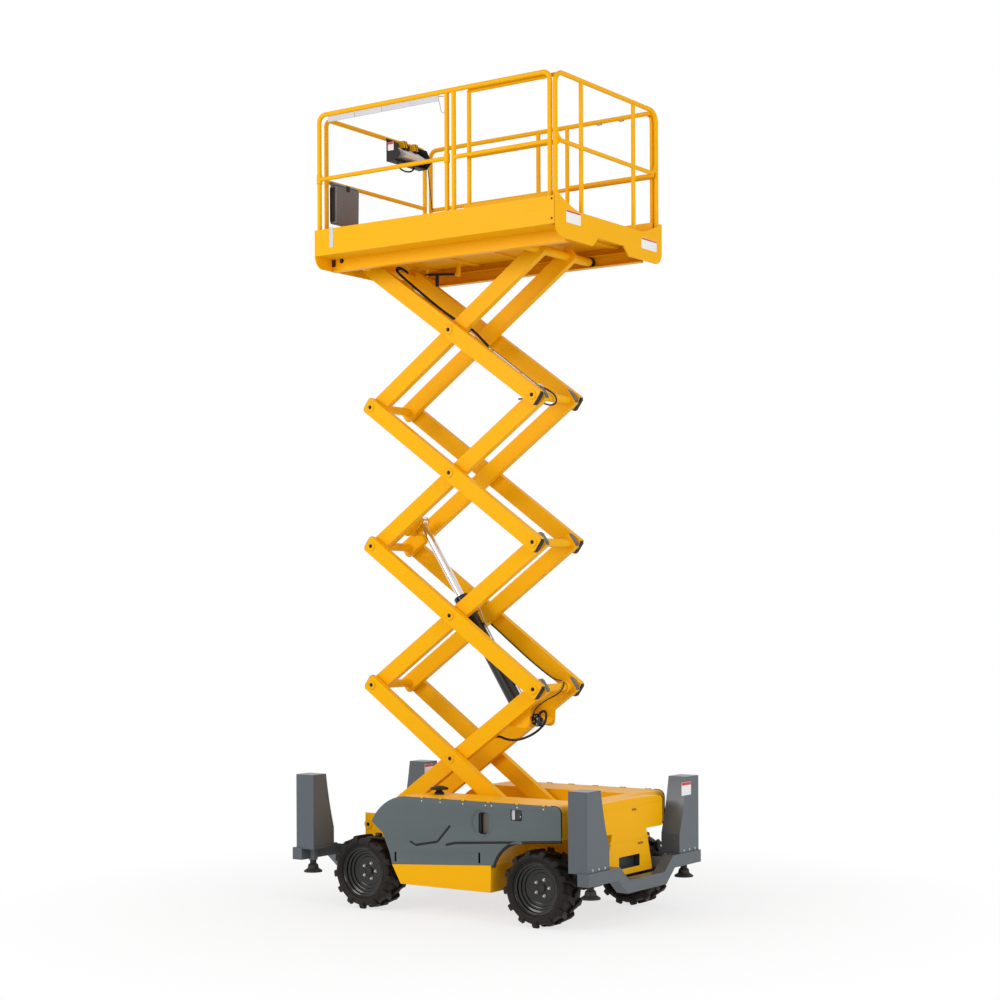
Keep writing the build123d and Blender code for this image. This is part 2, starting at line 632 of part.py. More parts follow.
def beam_outline(x):
    """The cranked outline of a bumper beam."""
    low = BEAM_TOP - BEAM_H
    with BuildSketch(at_x(x)) as outline:
        with BuildLine():
            Polyline((-BEAM_Y, BEAM_TOP), (-CRANK_OUT, BEAM_TOP), (-CRANK_IN, BEAM_TOP - BEAM_DROP),
                     (CRANK_IN, BEAM_TOP - BEAM_DROP), (CRANK_OUT, BEAM_TOP), (BEAM_Y, BEAM_TOP),
                     (BEAM_Y, low), (CRANK_OUT + 30, low), (CRANK_IN + 30, low - BEAM_DROP),
                     (-CRANK_IN - 30, low - BEAM_DROP), (-CRANK_OUT - 30, low), (-BEAM_Y, low), close=True)
        make_face()
    return outline.sketch


def cover_outline(x, side, top_y, low_y, wall=0.0):
    """The outline of a stabiliser cover, open at the bottom, full size or inset by its wall."""
    foot = BEAM_TOP + SEAT_GAP
    knee = foot + 170
    outer = side * (STAB_Y - wall)
    inner = side * (low_y + wall)
    with BuildSketch(at_x(x)) as outline:
        with BuildLine():
            Polyline((inner, knee), (inner, foot), (outer, foot), (outer, COVER_Z1 - wall),
                     (side * (top_y + wall), COVER_Z1 - wall))
            ThreePointArc((side * (top_y + wall), COVER_Z1 - wall), (side * (top_y * 0.58 + low_y * 0.42 + wall),
                          (COVER_Z1 + knee) / 2), (inner, knee))
        make_face()
    return outline.sketch


# name, direction of the end, how far back from the beam's face the covers' inner and outer ends
# and the legs are, leg y, inner edge of the covers at the top and at the bottom
ENDS = (
    ("front", 1, 205.0, 18.0, 85.0, 790.0, 730.0, 596.0),
    ("rear", -1, 245.0, 40.0, 128.0, 815.0, 765.0, 655.0),
)
for word, end, in_back, out_back, leg_back, leg_y, top_y, low_y in ENDS:
    in_x = END_X - in_back
    out_x = END_X - out_back
    leg_x = END_X - leg_back
    x_face = end * (END_X - BEAM_T)
    with BuildPart() as bumper:
        extrude(beam_outline(x_face), amount=end * BEAM_T)
        # struts back to the frame's side plates
        frame_end = FRAME_X1 if end > 0 else -FRAME_X0
        for side in SIDES:
            with BuildSketch(at_y(side * (FRAME_Y + PLATE + SEAT_GAP))):
                with Locations((end * (frame_end - 90 + END_X - BEAM_T + 20) / 2, BEAM_TOP - 60)):
                    Rectangle(END_X - BEAM_T + 20 - frame_end + 90, 90)
            extrude(amount=-side * 12)
            # leg housing, through the beam
            with BuildSketch(Plane.XY.offset(HOUSING_Z0)):
                with Locations((end * leg_x, side * leg_y)):
                    Circle(HOUSING_R)
            extrude(amount=HOUSING_Z1 - HOUSING_Z0)
            # seat of the cover, behind the beam
            with BuildSketch(Plane.XY.offset(BEAM_TOP - PLATE)):
                with Locations((end * (in_x + END_X - BEAM_T + 10) / 2, side * (low_y + STAB_Y) / 2)):
                    Rectangle(END_X - BEAM_T + 10 - in_x, STAB_Y - low_y)
            extrude(amount=PLATE)
        with BuildSketch(Plane.XY.offset(HOUSING_Z0 - 1)):
            with Locations((end * leg_x, leg_y), (end * leg_x, -leg_y)):
                Circle(LEG_R + PIN_FIT)
        extrude(amount=HOUSING_Z1 - HOUSING_Z0 - 15, mode=Mode.SUBTRACT)
        # lashing holes down through the low middle of the beam
        with BuildSketch(Plane.XY.offset(BEAM_TOP - BEAM_DROP - BEAM_H - 1)):
            with Locations((end * (END_X - BEAM_T / 2), LASH_Y), (end * (END_X - BEAM_T / 2), -LASH_Y)):
                Circle(LASH_R)
        extrude(amount=BEAM_H + 2, mode=Mode.SUBTRACT)
    bumper.part.label = f"{word}_bumper"
    export_step(bumper.part, f"parts/{word}_bumper.step")

    for side, hand in zip(SIDES, ("near", "far")):
        with BuildPart() as leg_cover:
            extrude(cover_outline(end * in_x, side, top_y, low_y), amount=end * (out_x - in_x))
            extrude(cover_outline(end * (in_x + SHEET), side, top_y, low_y, SHEET),
                    amount=end * (out_x - in_x - 2 * SHEET), mode=Mode.SUBTRACT)
        leg_cover.part.label = f"leg_cover_{word}_{hand}"
        export_step(leg_cover.part, f"parts/leg_cover_{word}_{hand}.step")

        with BuildPart() as leg:
            with BuildSketch(Plane(origin=(end * leg_x, side * leg_y, 0), x_dir=(1, 0, 0), z_dir=(0, -1, 0))):
                with BuildLine():
                    Polyline((0, FOOT_Z), (FOOT_R, FOOT_Z), (FOOT_R, FOOT_Z + 12), (52, FOOT_Z + 34),
                             (46, FOOT_Z + 66), (LEG_R, FOOT_Z + 80), (LEG_R, HOUSING_Z1 - 40), (0, HOUSING_Z1 - 40),
                             close=True)
                make_face()
            revolve(axis=Axis((end * leg_x, side * leg_y, 0), (0, 0, 1)))
        leg.part.label = f"stabiliser_leg_{word}_{hand}"
        export_step(leg.part, f"parts/stabiliser_leg_{word}_{hand}.step")

# ---------------------------------------------------------------- axles, knuckles and wheels
HUB_Z = TYRE_R
WHEEL_Y = TRACK / 2
DISC_Y = WHEEL_Y + 6            # inner face of the wheel disc
SPINDLE_R = 34.0
SPINDLE_OUT = 26.0              # of a spindle beyond the disc's inner face
HUB_BACK = 14.0                 # gap between hub and disc
YOKE_Z = 78.0
with BuildPart() as front_axle:
    extrude(disc((FRONT_X, HUB_Z), 0, AXLE_TUBE_R), amount=KINGPIN_Y - 72, both=True)
    extrude(disc((FRONT_X, HUB_Z), 0, AXLE_TUBE_R + 42), amount=120, both=True)
    with BuildSketch(Plane.XY.offset(HUB_Z)):
        with Locations((FRONT_X, 0)):
            Rectangle(170, 300)
    extrude(amount=FRAME_Z0 - SEAT_GAP - HUB_Z)
    for side in SIDES:
        with BuildSketch(at_x(FRONT_X)):
            with Locations((side * (KINGPIN_Y - 34), HUB_Z)):
                Rectangle(100, 2 * YOKE_Z + 28)
            with Locations((side * (KINGPIN_Y + 8), HUB_Z)):
                Rectangle(100, 2 * YOKE_Z, mode=Mode.SUBTRACT)
        extrude(amount=36, both=True)
        with BuildSketch(Plane.XY.offset(HUB_Z - YOKE_Z - 14)):
            with Locations((FRONT_X, side * KINGPIN_Y)):
                Circle(36)
        extrude(amount=14)
        with BuildSketch(Plane.XY.offset(HUB_Z + YOKE_Z)):
            with Locations((FRONT_X, side * KINGPIN_Y)):
                Circle(36)
        extrude(amount=14)
        with BuildSketch(Plane.XY.offset(HUB_Z - YOKE_Z - 15)):
            with Locations((FRONT_X, side * KINGPIN_Y)):
                Circle(KINGPIN_R + PIN_FIT)
        extrude(amount=2 * YOKE_Z + 30, mode=Mode.SUBTRACT)
front_axle.part.label = "front_axle"
export_step(front_axle.part, "parts/front_axle.step")

with BuildPart() as rear_axle:
    extrude(disc((REAR_X, HUB_Z), 0, AXLE_TUBE_R), amount=WHEEL_Y - 100, both=True)
    extrude(disc((REAR_X, HUB_Z), 0, HUB_R), amount=DISC_Y - HUB_BACK, both=True)
    extrude(disc((REAR_X, HUB_Z), 0, HUB_R + 40), amount=DISC_Y - 120, both=True, mode=Mode.SUBTRACT)
    extrude(disc((REAR_X, HUB_Z), 0, AXLE_TUBE_R), amount=WHEEL_Y - 100, both=True)
    extrude(disc((REAR_X, HUB_Z), 0, SPINDLE_R), amount=DISC_Y + SPINDLE_OUT, both=True)
    with BuildSketch(Plane.XY.offset(HUB_Z)):
        with Locations((REAR_X, 240), (REAR_X, -240)):
            Rectangle(150, 110)
    extrude(amount=FRAME_Z0 - SEAT_GAP - HUB_Z)
rear_axle.part.label = "rear_axle"
export_step(rear_axle.part, "parts/rear_axle.step")

for side, hand in zip(SIDES, ("near", "far")):
    with BuildPart() as knuckle:
        with BuildSketch(Plane.XY.offset(HUB_Z - YOKE_Z + SEAT_GAP)):
            with Locations((FRONT_X, side * KINGPIN_Y)):
                Circle(34)
        extrude(amount=2 * (YOKE_Z - SEAT_GAP))
        with BuildSketch(Plane.XY.offset(HUB_Z - YOKE_Z - 20)):
            with Locations((FRONT_X, side * KINGPIN_Y)):
                Circle(KINGPIN_R)
        extrude(amount=2 * YOKE_Z + 40)
        extrude(disc((FRONT_X, HUB_Z), side * KINGPIN_Y, 56), amount=-side * (DISC_Y - HUB_BACK - KINGPIN_Y - 40))
        extrude(disc((FRONT_X, HUB_Z), side * (DISC_Y - HUB_BACK), HUB_R), amount=side * 78)
        extrude(disc((FRONT_X, HUB_Z), side * (DISC_Y - 20), SPINDLE_R), amount=-side * (20 + SPINDLE_OUT))
    knuckle.part.label = f"knuckle_{hand}"
    export_step(knuckle.part, f"parts/knuckle_{hand}.step")

# ---------------------------------------------------------------- tyres and rims
CASING_R = TYRE_R - LUG_H
# plan of a lug, in mm along the tread and out from the tyre's middle plane
LUG_PLAN = ((-30.0, 152.0), (28.0, 152.0), (34.0, 92.0), (98.0, -10.0), (62.0, -16.0), (2.0, 60.0), (-22.0, 92.0))


def tyre_section(crown_r, shoulder, flank):
    """Half a tyre's section, mirrored: x out from its middle plane, y the radius."""
    half = RIM_W / 2
    bead = (half + 2, RIM_R + 1)
    edge = (TYRE_W / 2 - shoulder, CASING_R - (TYRE_R - crown_r))
    with BuildSketch(Plane(origin=(0, 0, 0), x_dir=(0, -1, 0), z_dir=(-1, 0, 0))) as section:
        with BuildLine():
            Polyline((0, RIM_BARREL_R + SEAT_GAP), (half - 20, RIM_BARREL_R + SEAT_GAP),
                     (half - 10.5, RIM_R + SEAT_GAP), bead, (TYRE_W / 2 - flank, (RIM_R + CASING_R) / 2 + 4), edge,
                     (edge[0] - 20, crown_r), (0, crown_r), close=True)
        make_face()
        mirror(about=Plane.YZ)
    return section.sketch


spin_axis = Axis((0, 0, 0), (0, 1, 0))
with BuildPart() as lugs:
    for row in (1, -1):
        with BuildSketch(Plane.XY.offset(CASING_R - 50)):
            Polygon(*[(along, row * out) for along, out in LUG_PLAN], align=None)
        row_turn = 0 if row > 0 else 180 / LUG_COUNT
        lug = extrude(amount=LUG_H + 60, mode=Mode.PRIVATE)
        for count in range(LUG_COUNT):
            add(lug.rotate(spin_axis, row_turn + count * 360 / LUG_COUNT))
    with BuildPart(mode=Mode.INTERSECT):
        with BuildSketch() as envelope:
            add(tyre_section(TYRE_R, 6, 1))
        revolve(axis=spin_axis)
with BuildPart() as casing:
    revolve(tyre_section(CASING_R, 16, 10), axis=spin_axis)
    add(lugs.part)
near_tyre = casing.part

# word, x of the axle
AXLES = (("front", FRONT_X), ("rear", REAR_X))
for word, axle_x in AXLES:
    for side, hand in zip(SIDES, ("near", "far")):
        hub = (axle_x, side * WHEEL_Y, HUB_Z)
        # x outward from the tyre's middle plane, y the radius
        section = Plane(origin=hub, x_dir=(0, side, 0), z_dir=(side, 0, 0))
        spin = Axis(hub, (0, 1, 0))
        half = RIM_W / 2
        disc_at = DISC_Y - WHEEL_Y
        with BuildPart() as rim:
            with BuildSketch(section):
                with BuildLine():
                    Polyline((-half, RIM_R), (-half, RIM_R - 8), (-half + 12, RIM_BARREL_R - 8),
                             (disc_at, RIM_BARREL_R - 8), (disc_at, SPINDLE_R + 6), (disc_at - 4, SPINDLE_R + 6),
                             (disc_at - 4, SPINDLE_R + PIN_FIT), (disc_at + 22, SPINDLE_R + PIN_FIT),
                             (disc_at + 22, SPINDLE_R + 8), (disc_at + 12, SPINDLE_R + 16),
                             (disc_at + 12, RIM_BARREL_R - 30), (disc_at + 26, RIM_BARREL_R - 8),
                             (half - 12, RIM_BARREL_R - 8), (half, RIM_R - 8), (half, RIM_R),
                             (half - 10, RIM_R), (half - 20, RIM_BARREL_R), (-half + 20, RIM_BARREL_R),
                             (-half + 10, RIM_R), close=True)
                make_face()
            revolve(axis=spin)
        rim.part.label = f"rim_{word}_{hand}"
        export_step(rim.part, f"parts/rim_{word}_{hand}.step")

        tyre = near_tyre if side < 0 else near_tyre.mirror(Plane.XZ)
        tyre = tyre.moved(Location(hub))
        tyre.label = f"tyre_{word}_{hand}"
        export_step(tyre, f"parts/tyre_{word}_{hand}.step")

# ---------------------------------------------------------------- platform deck
POST_Y = PLAT_Y - TOE_T - SEAT_GAP - RAIL_R      # middle plane of the side guardrails
CORNER_X = PLAT_X0 + TOE_T + SEAT_GAP + RAIL_R   # rear corner posts
POST_Z0 = DECK_Z + SEAT_GAP
END_SHEET_X = ARCH_X + RAIL_R + SEAT_GAP


def end_sheet(x, top, dip=0.0, notch=False):
    """An end sheet of the platform facing +X, with rounded lower corners."""
    low = CHANNEL_Z0 + 4
    waist = TOE_Z0 - 5
    reach = PLAT_Y
    flat = reach - CORNER_CUT
    with BuildSketch(at_x(x)) as sheet:
        with BuildLine():
            Line((-reach, top), (-reach, waist))
            RadiusArc((-reach, waist), (-flat, low), -CORNER_CUT)
            if notch:
                Polyline((-flat, low), (-NOTCH_FOOT, low), (-NOTCH_TOP, NOTCH_Z), (NOTCH_TOP, NOTCH_Z),
                         (NOTCH_FOOT, low), (flat, low))
            else:
                Line((-flat, low), (flat, low))
            RadiusArc((flat, low), (reach, waist), -CORNER_CUT)
            Line((reach, waist), (reach, top))
            if dip:
                outer = reach - 30
                inner = reach - 370
                Line((reach, top), (outer, top))
                ThreePointArc((outer, top), (inner + 130, top - 0.75 * dip), (inner, top - dip))
                Line((inner, top - dip), (-inner, top - dip))
                ThreePointArc((-inner, top - dip), (-inner - 130, top - 0.75 * dip), (-outer, top))
                Line((-outer, top), (-reach, top))
            else:
                Line((reach, top), (-reach, top))
        make_face()
    return sheet.sketch


def post(x, y, low, high, radius=RAIL_R):
    """Adds an upright tube."""
    with BuildSketch(Plane(origin=(x, y, low))) as section:
        Circle(radius)
    extrude(section.sketch, amount=high - low)


def rail_x(y, z, x0, x1, radius=MID_RAIL_R):
    """Adds a tube along X."""
    with BuildSketch(Plane(origin=(x0, y, z), x_dir=(0, 1, 0), z_dir=(1, 0, 0))) as section:
        Circle(radius)
    extrude(section.sketch, amount=x1 - x0)


def rail_y(x, z, y0, y1, radius=MID_RAIL_R):
    """Adds a tube along Y."""
    with BuildSketch(Plane(origin=(x, y0, z), x_dir=(1, 0, 0), z_dir=(0, 1, 0))) as section:
        Circle(radius)
    extrude(section.sketch, amount=y1 - y0)


def bent_tube(points, bend, radius):
    """Adds a tube along a path of straight runs with one bend radius, starting upwards or downwards."""
    with BuildLine() as path:
        FilletPolyline(*points, radius=bend)
    with BuildSketch(Plane(origin=points[0], x_dir=(1, 0, 0), z_dir=path.line @ 0.01 - path.line @ 0)) as section:
        Circle(radius)
    sweep(section.sketch, path=path.line)


with BuildPart() as deck:
    deck_x = (PLAT_X0 + DECK_X1) / 2
    deck_len = DECK_X1 - PLAT_X0
    deck_z0 = DECK_Z - DECK_T
    with BuildSketch(Plane.XY.offset(deck_z0)):
        with Locations((deck_x, 0)):
            Rectangle(deck_len, 2 * (PLAT_Y - 1))
    extrude(amount=DECK_T)
    for side in SIDES:
        # toe board
        with BuildSketch(at_y(side * PLAT_Y)):
            with Locations(((PLAT_X0 + TOE_X1) / 2, (TOE_Z0 + TOE_Z1) / 2)):
                Rectangle(TOE_X1 - PLAT_X0, TOE_Z1 - TOE_Z0)
        extrude(amount=side * TOE_T)
        # pan that closes the bay between toe board and channel
        with BuildSketch(Plane.XY.offset(TOE_Z0)):
            with Locations((deck_x, side * (CHANNEL_Y + PLAT_Y) / 2)):
                Rectangle(deck_len, PLAT_Y - CHANNEL_Y - 2)
        extrude(amount=PAN_T)
        # channel for the slide block: web, lower flange and upper flange
        with BuildSketch(at_y(side * CHANNEL_Y)):
            with Locations((deck_x, (CHANNEL_Z0 + deck_z0) / 2)):
                Rectangle(deck_len, deck_z0 - CHANNEL_Z0)
            with Locations((PIVOT_X, TOP_Z)):
                Circle(PIN_R + PIN_FIT, mode=Mode.SUBTRACT)
        extrude(amount=-side * CHANNEL_T)
        with BuildSketch(at_y(side * (CHANNEL_Y + 1))):
            for level in (CHANNEL_Z0 + CHANNEL_T / 2, TOP_Z + ROLLER_R + CHANNEL_T / 2):
                with Locations((deck_x, level)):
                    Rectangle(deck_len, CHANNEL_T)
        extrude(amount=side * (CHANNEL_FLANGE + 1))
    # ribs under the deck
    rib_step = deck_len / RIB_COUNT
    with BuildSketch(Plane.XY.offset(deck_z0 - RIB_T)):
        for rib in range(RIB_COUNT):
            with Locations((PLAT_X0 + (rib + 0.5) * rib_step, 0)):
                Rectangle(RIB_W, 2 * CHANNEL_Y + 2)
    extrude(amount=RIB_T)
    extrude(end_sheet(PLAT_X0, TOE_Z1), amount=TOE_T)
deck.part.label = "platform_deck"
export_step(deck.part, "parts/platform_deck.step")

# ---------------------------------------------------------------- fixed guardrails
with BuildPart() as near_rail:
    bent_tube(((CORNER_X, -POST_Y, POST_Z0), (CORNER_X, -POST_Y, RAIL_TOP), (FRONT_POST_X, -POST_Y, RAIL_TOP),
               (FRONT_POST_X, -POST_Y, POST_Z0)), RAIL_BEND, RAIL_R)
    for post_x in (BAR_POST_X, MID_POST_X):
        post(post_x, -POST_Y, POST_Z0, RAIL_TOP)
    rail_x(-POST_Y, RAIL_MID, MID_POST_X, FRONT_POST_X)
near_rail.part.label = "guardrail_near"
export_step(near_rail.part, "parts/guardrail_near.step")

with BuildPart() as far_rail:
    bent_tube(((CORNER_X, POST_Y, POST_Z0), (CORNER_X, POST_Y, RAIL_TOP), (FRONT_POST_X, POST_Y, RAIL_TOP),
               (FRONT_POST_X, POST_Y, POST_Z0)), RAIL_BEND, RAIL_R)
    post(FAR_POST_X, POST_Y, POST_Z0, RAIL_TOP)
    rail_x(POST_Y, RAIL_MID, CORNER_X, FRONT_POST_X)
far_rail.part.label = "guardrail_far"
export_step(far_rail.part, "parts/guardrail_far.step")

with BuildPart() as rear_rail:
    bent_tube(((CORNER_X, -REAR_Y, POST_Z0), (CORNER_X, -REAR_Y, REAR_TOP), (CORNER_X, REAR_Y, REAR_TOP),
               (CORNER_X, REAR_Y, POST_Z0)), RAIL_BEND, RAIL_R)
    rail_y(CORNER_X, RAIL_MID, -REAR_Y, REAR_Y)
rear_rail.part.label = "guardrail_rear"
export_step(rear_rail.part, "parts/guardrail_rear.step")

# ---------------------------------------------------------------- entry bar and rail strip
# The bar lifts to let people in: its two sleeves slide on the posts at each end.
with BuildPart() as entry_bar:
    rail_x(-POST_Y, RAIL_MID, CORNER_X, BAR_POST_X)
    for post_x in (CORNER_X, BAR_POST_X):
        post(post_x, -POST_Y, RAIL_MID - SLEEVE_H / 2, RAIL_MID + SLEEVE_H / 2, SLEEVE_R)
    for post_x in (CORNER_X, BAR_POST_X):
        with BuildSketch(Plane(origin=(post_x, -POST_Y, RAIL_MID - SLEEVE_H))):
            Circle(RAIL_R + SEAT_GAP)
        extrude(amount=2 * SLEEVE_H, mode=Mode.SUBTRACT)
entry_bar.part.label = "entry_bar"
export_step(entry_bar.part, "parts/entry_bar.step")

with BuildPart() as strip:
    with BuildSketch(at_y(-POST_Y)):
        with Locations(((STRIP_X0 + STRIP_X1) / 2, RAIL_TOP - RAIL_R - SEAT_GAP - STRIP_H / 2)):
            RectangleRounded(STRIP_X1 - STRIP_X0, STRIP_H, STRIP_H / 4)
    extrude(amount=STRIP_T / 2, both=True)
strip.part.label = "rail_strip"
export_step(strip.part, "parts/rail_strip.step")

# ---------------------------------------------------------------- roll-out deck
EXT_Z0 = DECK_Z + SEAT_GAP
EXT_Z1 = EXT_Z0 + EXT_T
with BuildPart() as roll_deck:
    ext_x = (EXT_X0 + END_SHEET_X) / 2
    with BuildSketch(Plane.XY.offset(EXT_Z0)):
        with Locations((ext_x, 0)):
            Rectangle(END_SHEET_X - EXT_X0, 2 * EXT_Y)
    extrude(amount=EXT_T)
    for side in SIDES:
        toe_x1 = ARCH_X - RAIL_R - SEAT_GAP
        with BuildSketch(at_y(side * EXT_Y)):
            with Locations(((EXT_X0 + toe_x1) / 2, (EXT_Z0 + EXT_TOE_Z1) / 2)):
                Rectangle(toe_x1 - EXT_X0, EXT_TOE_Z1 - EXT_Z0)
        extrude(amount=-side * EXT_TOE_T)
    extrude(end_sheet(END_SHEET_X, EXT_TOE_Z1 - 15, END_DIP, True), amount=END_SHEET_T)
roll_deck.part.label = "roll_out_deck"
export_step(roll_deck.part, "parts/roll_out_deck.step")

with BuildPart() as front_rail:
    arch_low = TOE_Z0 + 20
    lift = ARCH_BEND + 10
    bent_tube(((ARCH_X, -ARCH_Y, arch_low), (ARCH_X, -ARCH_Y, RAIL_TOP), (ARCH_X, ARCH_Y, RAIL_TOP),
               (ARCH_X, ARCH_Y, arch_low)), ARCH_BEND, RAIL_R)
    bent_tube(((ARCH_X, -ARCH_Y, ARCH_MID + lift), (ARCH_X, -ARCH_Y, ARCH_MID), (ARCH_X, ARCH_Y, ARCH_MID),
               (ARCH_X, ARCH_Y, ARCH_MID + lift)), ARCH_BEND, MID_RAIL_R)
    for side in SIDES:
        post(ARCH_X, side * ARCH_POST_Y, EXT_Z1 + SEAT_GAP, RAIL_TOP, MID_RAIL_R)
        # side rails that run out with the deck, inside the fixed ones
        side_y = side * (EXT_Y - SEAT_GAP - MID_RAIL_R)
        for level in (RAIL_TOP - 18, RAIL_MID):
            rail_x(side_y, level, EXT_X0 + 40, ARCH_X)
        post(EXT_X0 + 40, side_y, EXT_Z1 + SEAT_GAP, RAIL_TOP - 18, MID_RAIL_R)
front_rail.part.label = "guardrail_front"
export_step(front_rail.part, "parts/guardrail_front.step")

# ---------------------------------------------------------------- control box and document box
with BuildPart() as controls:
    back = CORNER_X + RAIL_R + SEAT_GAP
    with BuildSketch(at_y(CONTROL_Y0)):
        with BuildLine():
            Polyline((back, CONTROL_Z0), (back + 130, CONTROL_Z0), (back + 165, CONTROL_Z0 + 60),
                     (back + 40, REAR_TOP - 15), (back + 12, REAR_TOP), (back, REAR_TOP), close=True)
        make_face()
    extrude(amount=CONTROL_Y0 - CONTROL_Y1)
controls.part.label = "control_box"
export_step(controls.part, "parts/control_box.step")

with BuildPart() as papers:
    back = CORNER_X + MID_RAIL_R + SEAT_GAP
    with BuildSketch(at_y(PAPERS_Y - PAPERS_W / 2)):
        with BuildLine():
            Polyline((back, PAPERS_Z0), (back + PAPERS_D - 24, PAPERS_Z0), (back + PAPERS_D, RAIL_MID - 60),
                     (back + 20, RAIL_MID), (back, RAIL_MID), close=True)
        make_face()
    extrude(amount=-PAPERS_W)
papers.part.label = "document_box"
export_step(papers.part, "parts/document_box.step")

# ---------------------------------------------------------------- fuel filler cap
CAP_AT = (-216, -560)
with BuildPart() as cap:
    with BuildSketch(Plane(origin=(*CAP_AT, CABINET_TOP + SEAT_GAP), x_dir=(1, 0, 0), z_dir=(0, -1, 0))):
        with BuildLine():
            Polyline((0, 0), (44, 0), (44, 18), (30, 24), (30, 38), (82, 44), (82, 60), (40, 74), (0, 76), close=True)
        make_face()
    revolve(axis=Axis((*CAP_AT, 0), (0, 0, 1)))
cap.part.label = "filler_cap"
export_step(cap.part, "parts/filler_cap.step")
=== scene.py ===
import json
import math

import bmesh
import bpy
from mathutils import Matrix, Vector


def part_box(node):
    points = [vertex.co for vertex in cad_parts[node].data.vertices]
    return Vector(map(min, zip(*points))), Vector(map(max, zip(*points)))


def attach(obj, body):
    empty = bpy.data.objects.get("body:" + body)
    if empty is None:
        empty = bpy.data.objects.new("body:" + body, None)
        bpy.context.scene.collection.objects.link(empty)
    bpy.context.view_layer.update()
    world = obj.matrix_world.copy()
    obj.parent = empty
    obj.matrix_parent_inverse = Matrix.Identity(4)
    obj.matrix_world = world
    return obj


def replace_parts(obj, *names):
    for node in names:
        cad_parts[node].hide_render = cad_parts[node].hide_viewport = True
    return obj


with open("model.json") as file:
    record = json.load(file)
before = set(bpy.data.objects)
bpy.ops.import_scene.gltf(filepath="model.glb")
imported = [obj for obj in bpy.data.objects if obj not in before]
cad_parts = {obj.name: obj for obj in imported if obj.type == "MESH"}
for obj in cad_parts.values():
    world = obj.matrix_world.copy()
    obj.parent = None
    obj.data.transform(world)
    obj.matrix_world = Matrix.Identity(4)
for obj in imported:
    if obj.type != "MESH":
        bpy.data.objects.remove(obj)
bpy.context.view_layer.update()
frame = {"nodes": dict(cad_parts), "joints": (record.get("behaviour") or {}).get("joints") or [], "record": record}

nodes = frame["nodes"]
slot_of = {part["node"]: part["material_slot"] for part in frame["record"]["subparts"]}

# ------------------------------------------------------------------ yellow steelwork
# Chassis, side cabinets, hood, scissor arms, platform and guardrails are welded steel plate
# and tube, sprayed yellow after welding. The enamel has a faint orange peel, rounds over the
# plate edges and picks up a little dust low down.


def new_group(name, inputs, outputs):
    """An empty shader node group with named sockets, and its input and output nodes."""
    tree = bpy.data.node_groups.new(name, "ShaderNodeTree")
    for socket, kind, value in inputs:
        made = tree.interface.new_socket(socket, in_out="INPUT", socket_type=kind)
        made.default_value = value
    for socket, kind in outputs:
        tree.interface.new_socket(socket, in_out="OUTPUT", socket_type=kind)
    return tree, tree.nodes.new("NodeGroupInput"), tree.nodes.new("NodeGroupOutput")


def feed(tree, socket, value):
    """Links an input to a socket, or sets it to a value."""
    if isinstance(value, bpy.types.NodeSocket):
        tree.links.new(value, socket)
    elif value is not None:
        socket.default_value = value


def added(tree, kind, group=None, **inputs):
    """A new node with its inputs fed; an underscore stands for a space in their names."""
    node = tree.nodes.new(kind)
    if group:
        node.node_tree = group
    for name, value in inputs.items():
        feed(tree, node.inputs[name.replace("_", " ")], value)
    return node


def math_node(tree, operation, first, second=None, clamp=False):
    """The result of a math node with its inputs fed."""
    node = tree.nodes.new("ShaderNodeMath")
    node.operation = operation
    node.use_clamp = clamp
    feed(tree, node.inputs[0], first)
    feed(tree, node.inputs[1], second)
    return node.outputs[0]


def mixed(tree, factor, first, second):
    """A mix of two colours."""
    node = tree.nodes.new("ShaderNodeMix")
    node.data_type = "RGBA"
    for index, value in ((0, factor), (6, first), (7, second)):
        feed(tree, node.inputs[index], value)
    return node.outputs[2]


def own_place(tree):
    """The piece's own coordinates, in metres."""
    return tree.nodes.new("ShaderNodeTexCoord").outputs["Object"]


def noise(tree, scale, detail=2.0):
    """Noise on the piece's own coordinates."""
    return added(tree, "ShaderNodeTexNoise", Vector=own_place(tree), Scale=scale, Detail=detail).outputs["Fac"]


WHITE = (1.0, 1.0, 1.0, 1.0)
CLAY = (0.30, 0.25, 0.18, 1)     # colour of dry site dust

# Site dust: a thin film on everything near the ground, with soft patches higher up.
site_dust, dust_in, dust_out = new_group(
    "site_dust",
    [("Colour", "NodeSocketColor", WHITE), ("Dust", "NodeSocketColor", CLAY),
     ("Amount", "NodeSocketFloat", 0.5), ("Reach", "NodeSocketFloat", 0.7),
     ("Patches", "NodeSocketFloat", 0.08), ("Patch Scale", "NodeSocketFloat", 2.4)],
    [("Colour", "NodeSocketColor"), ("Mask", "NodeSocketFloat")])
height = added(site_dust, "ShaderNodeSeparateXYZ", Vector=own_place(site_dust))
low = math_node(site_dust, "DIVIDE", height.outputs["Z"], dust_in.outputs["Reach"])
low = math_node(site_dust, "SUBTRACT", 1.0, low, clamp=True)
low = math_node(site_dust, "MULTIPLY", low, noise(site_dust, 9.0, 5.0))      # broken up over 10 cm
low = math_node(site_dust, "MULTIPLY", low, dust_in.outputs["Amount"], clamp=True)
patches = math_node(site_dust, "SUBTRACT", noise(site_dust, dust_in.outputs["Patch Scale"], 4.0), 0.45, clamp=True)
patches = math_node(site_dust, "MULTIPLY", patches, dust_in.outputs["Patches"])
dust_mask = math_node(site_dust, "ADD", low, patches, clamp=True)
dusted = mixed(site_dust, dust_mask, dust_in.outputs["Colour"], dust_in.outputs["Dust"])
feed(site_dust, dust_out.inputs["Colour"], dusted)
feed(site_dust, dust_out.inputs["Mask"], dust_mask)

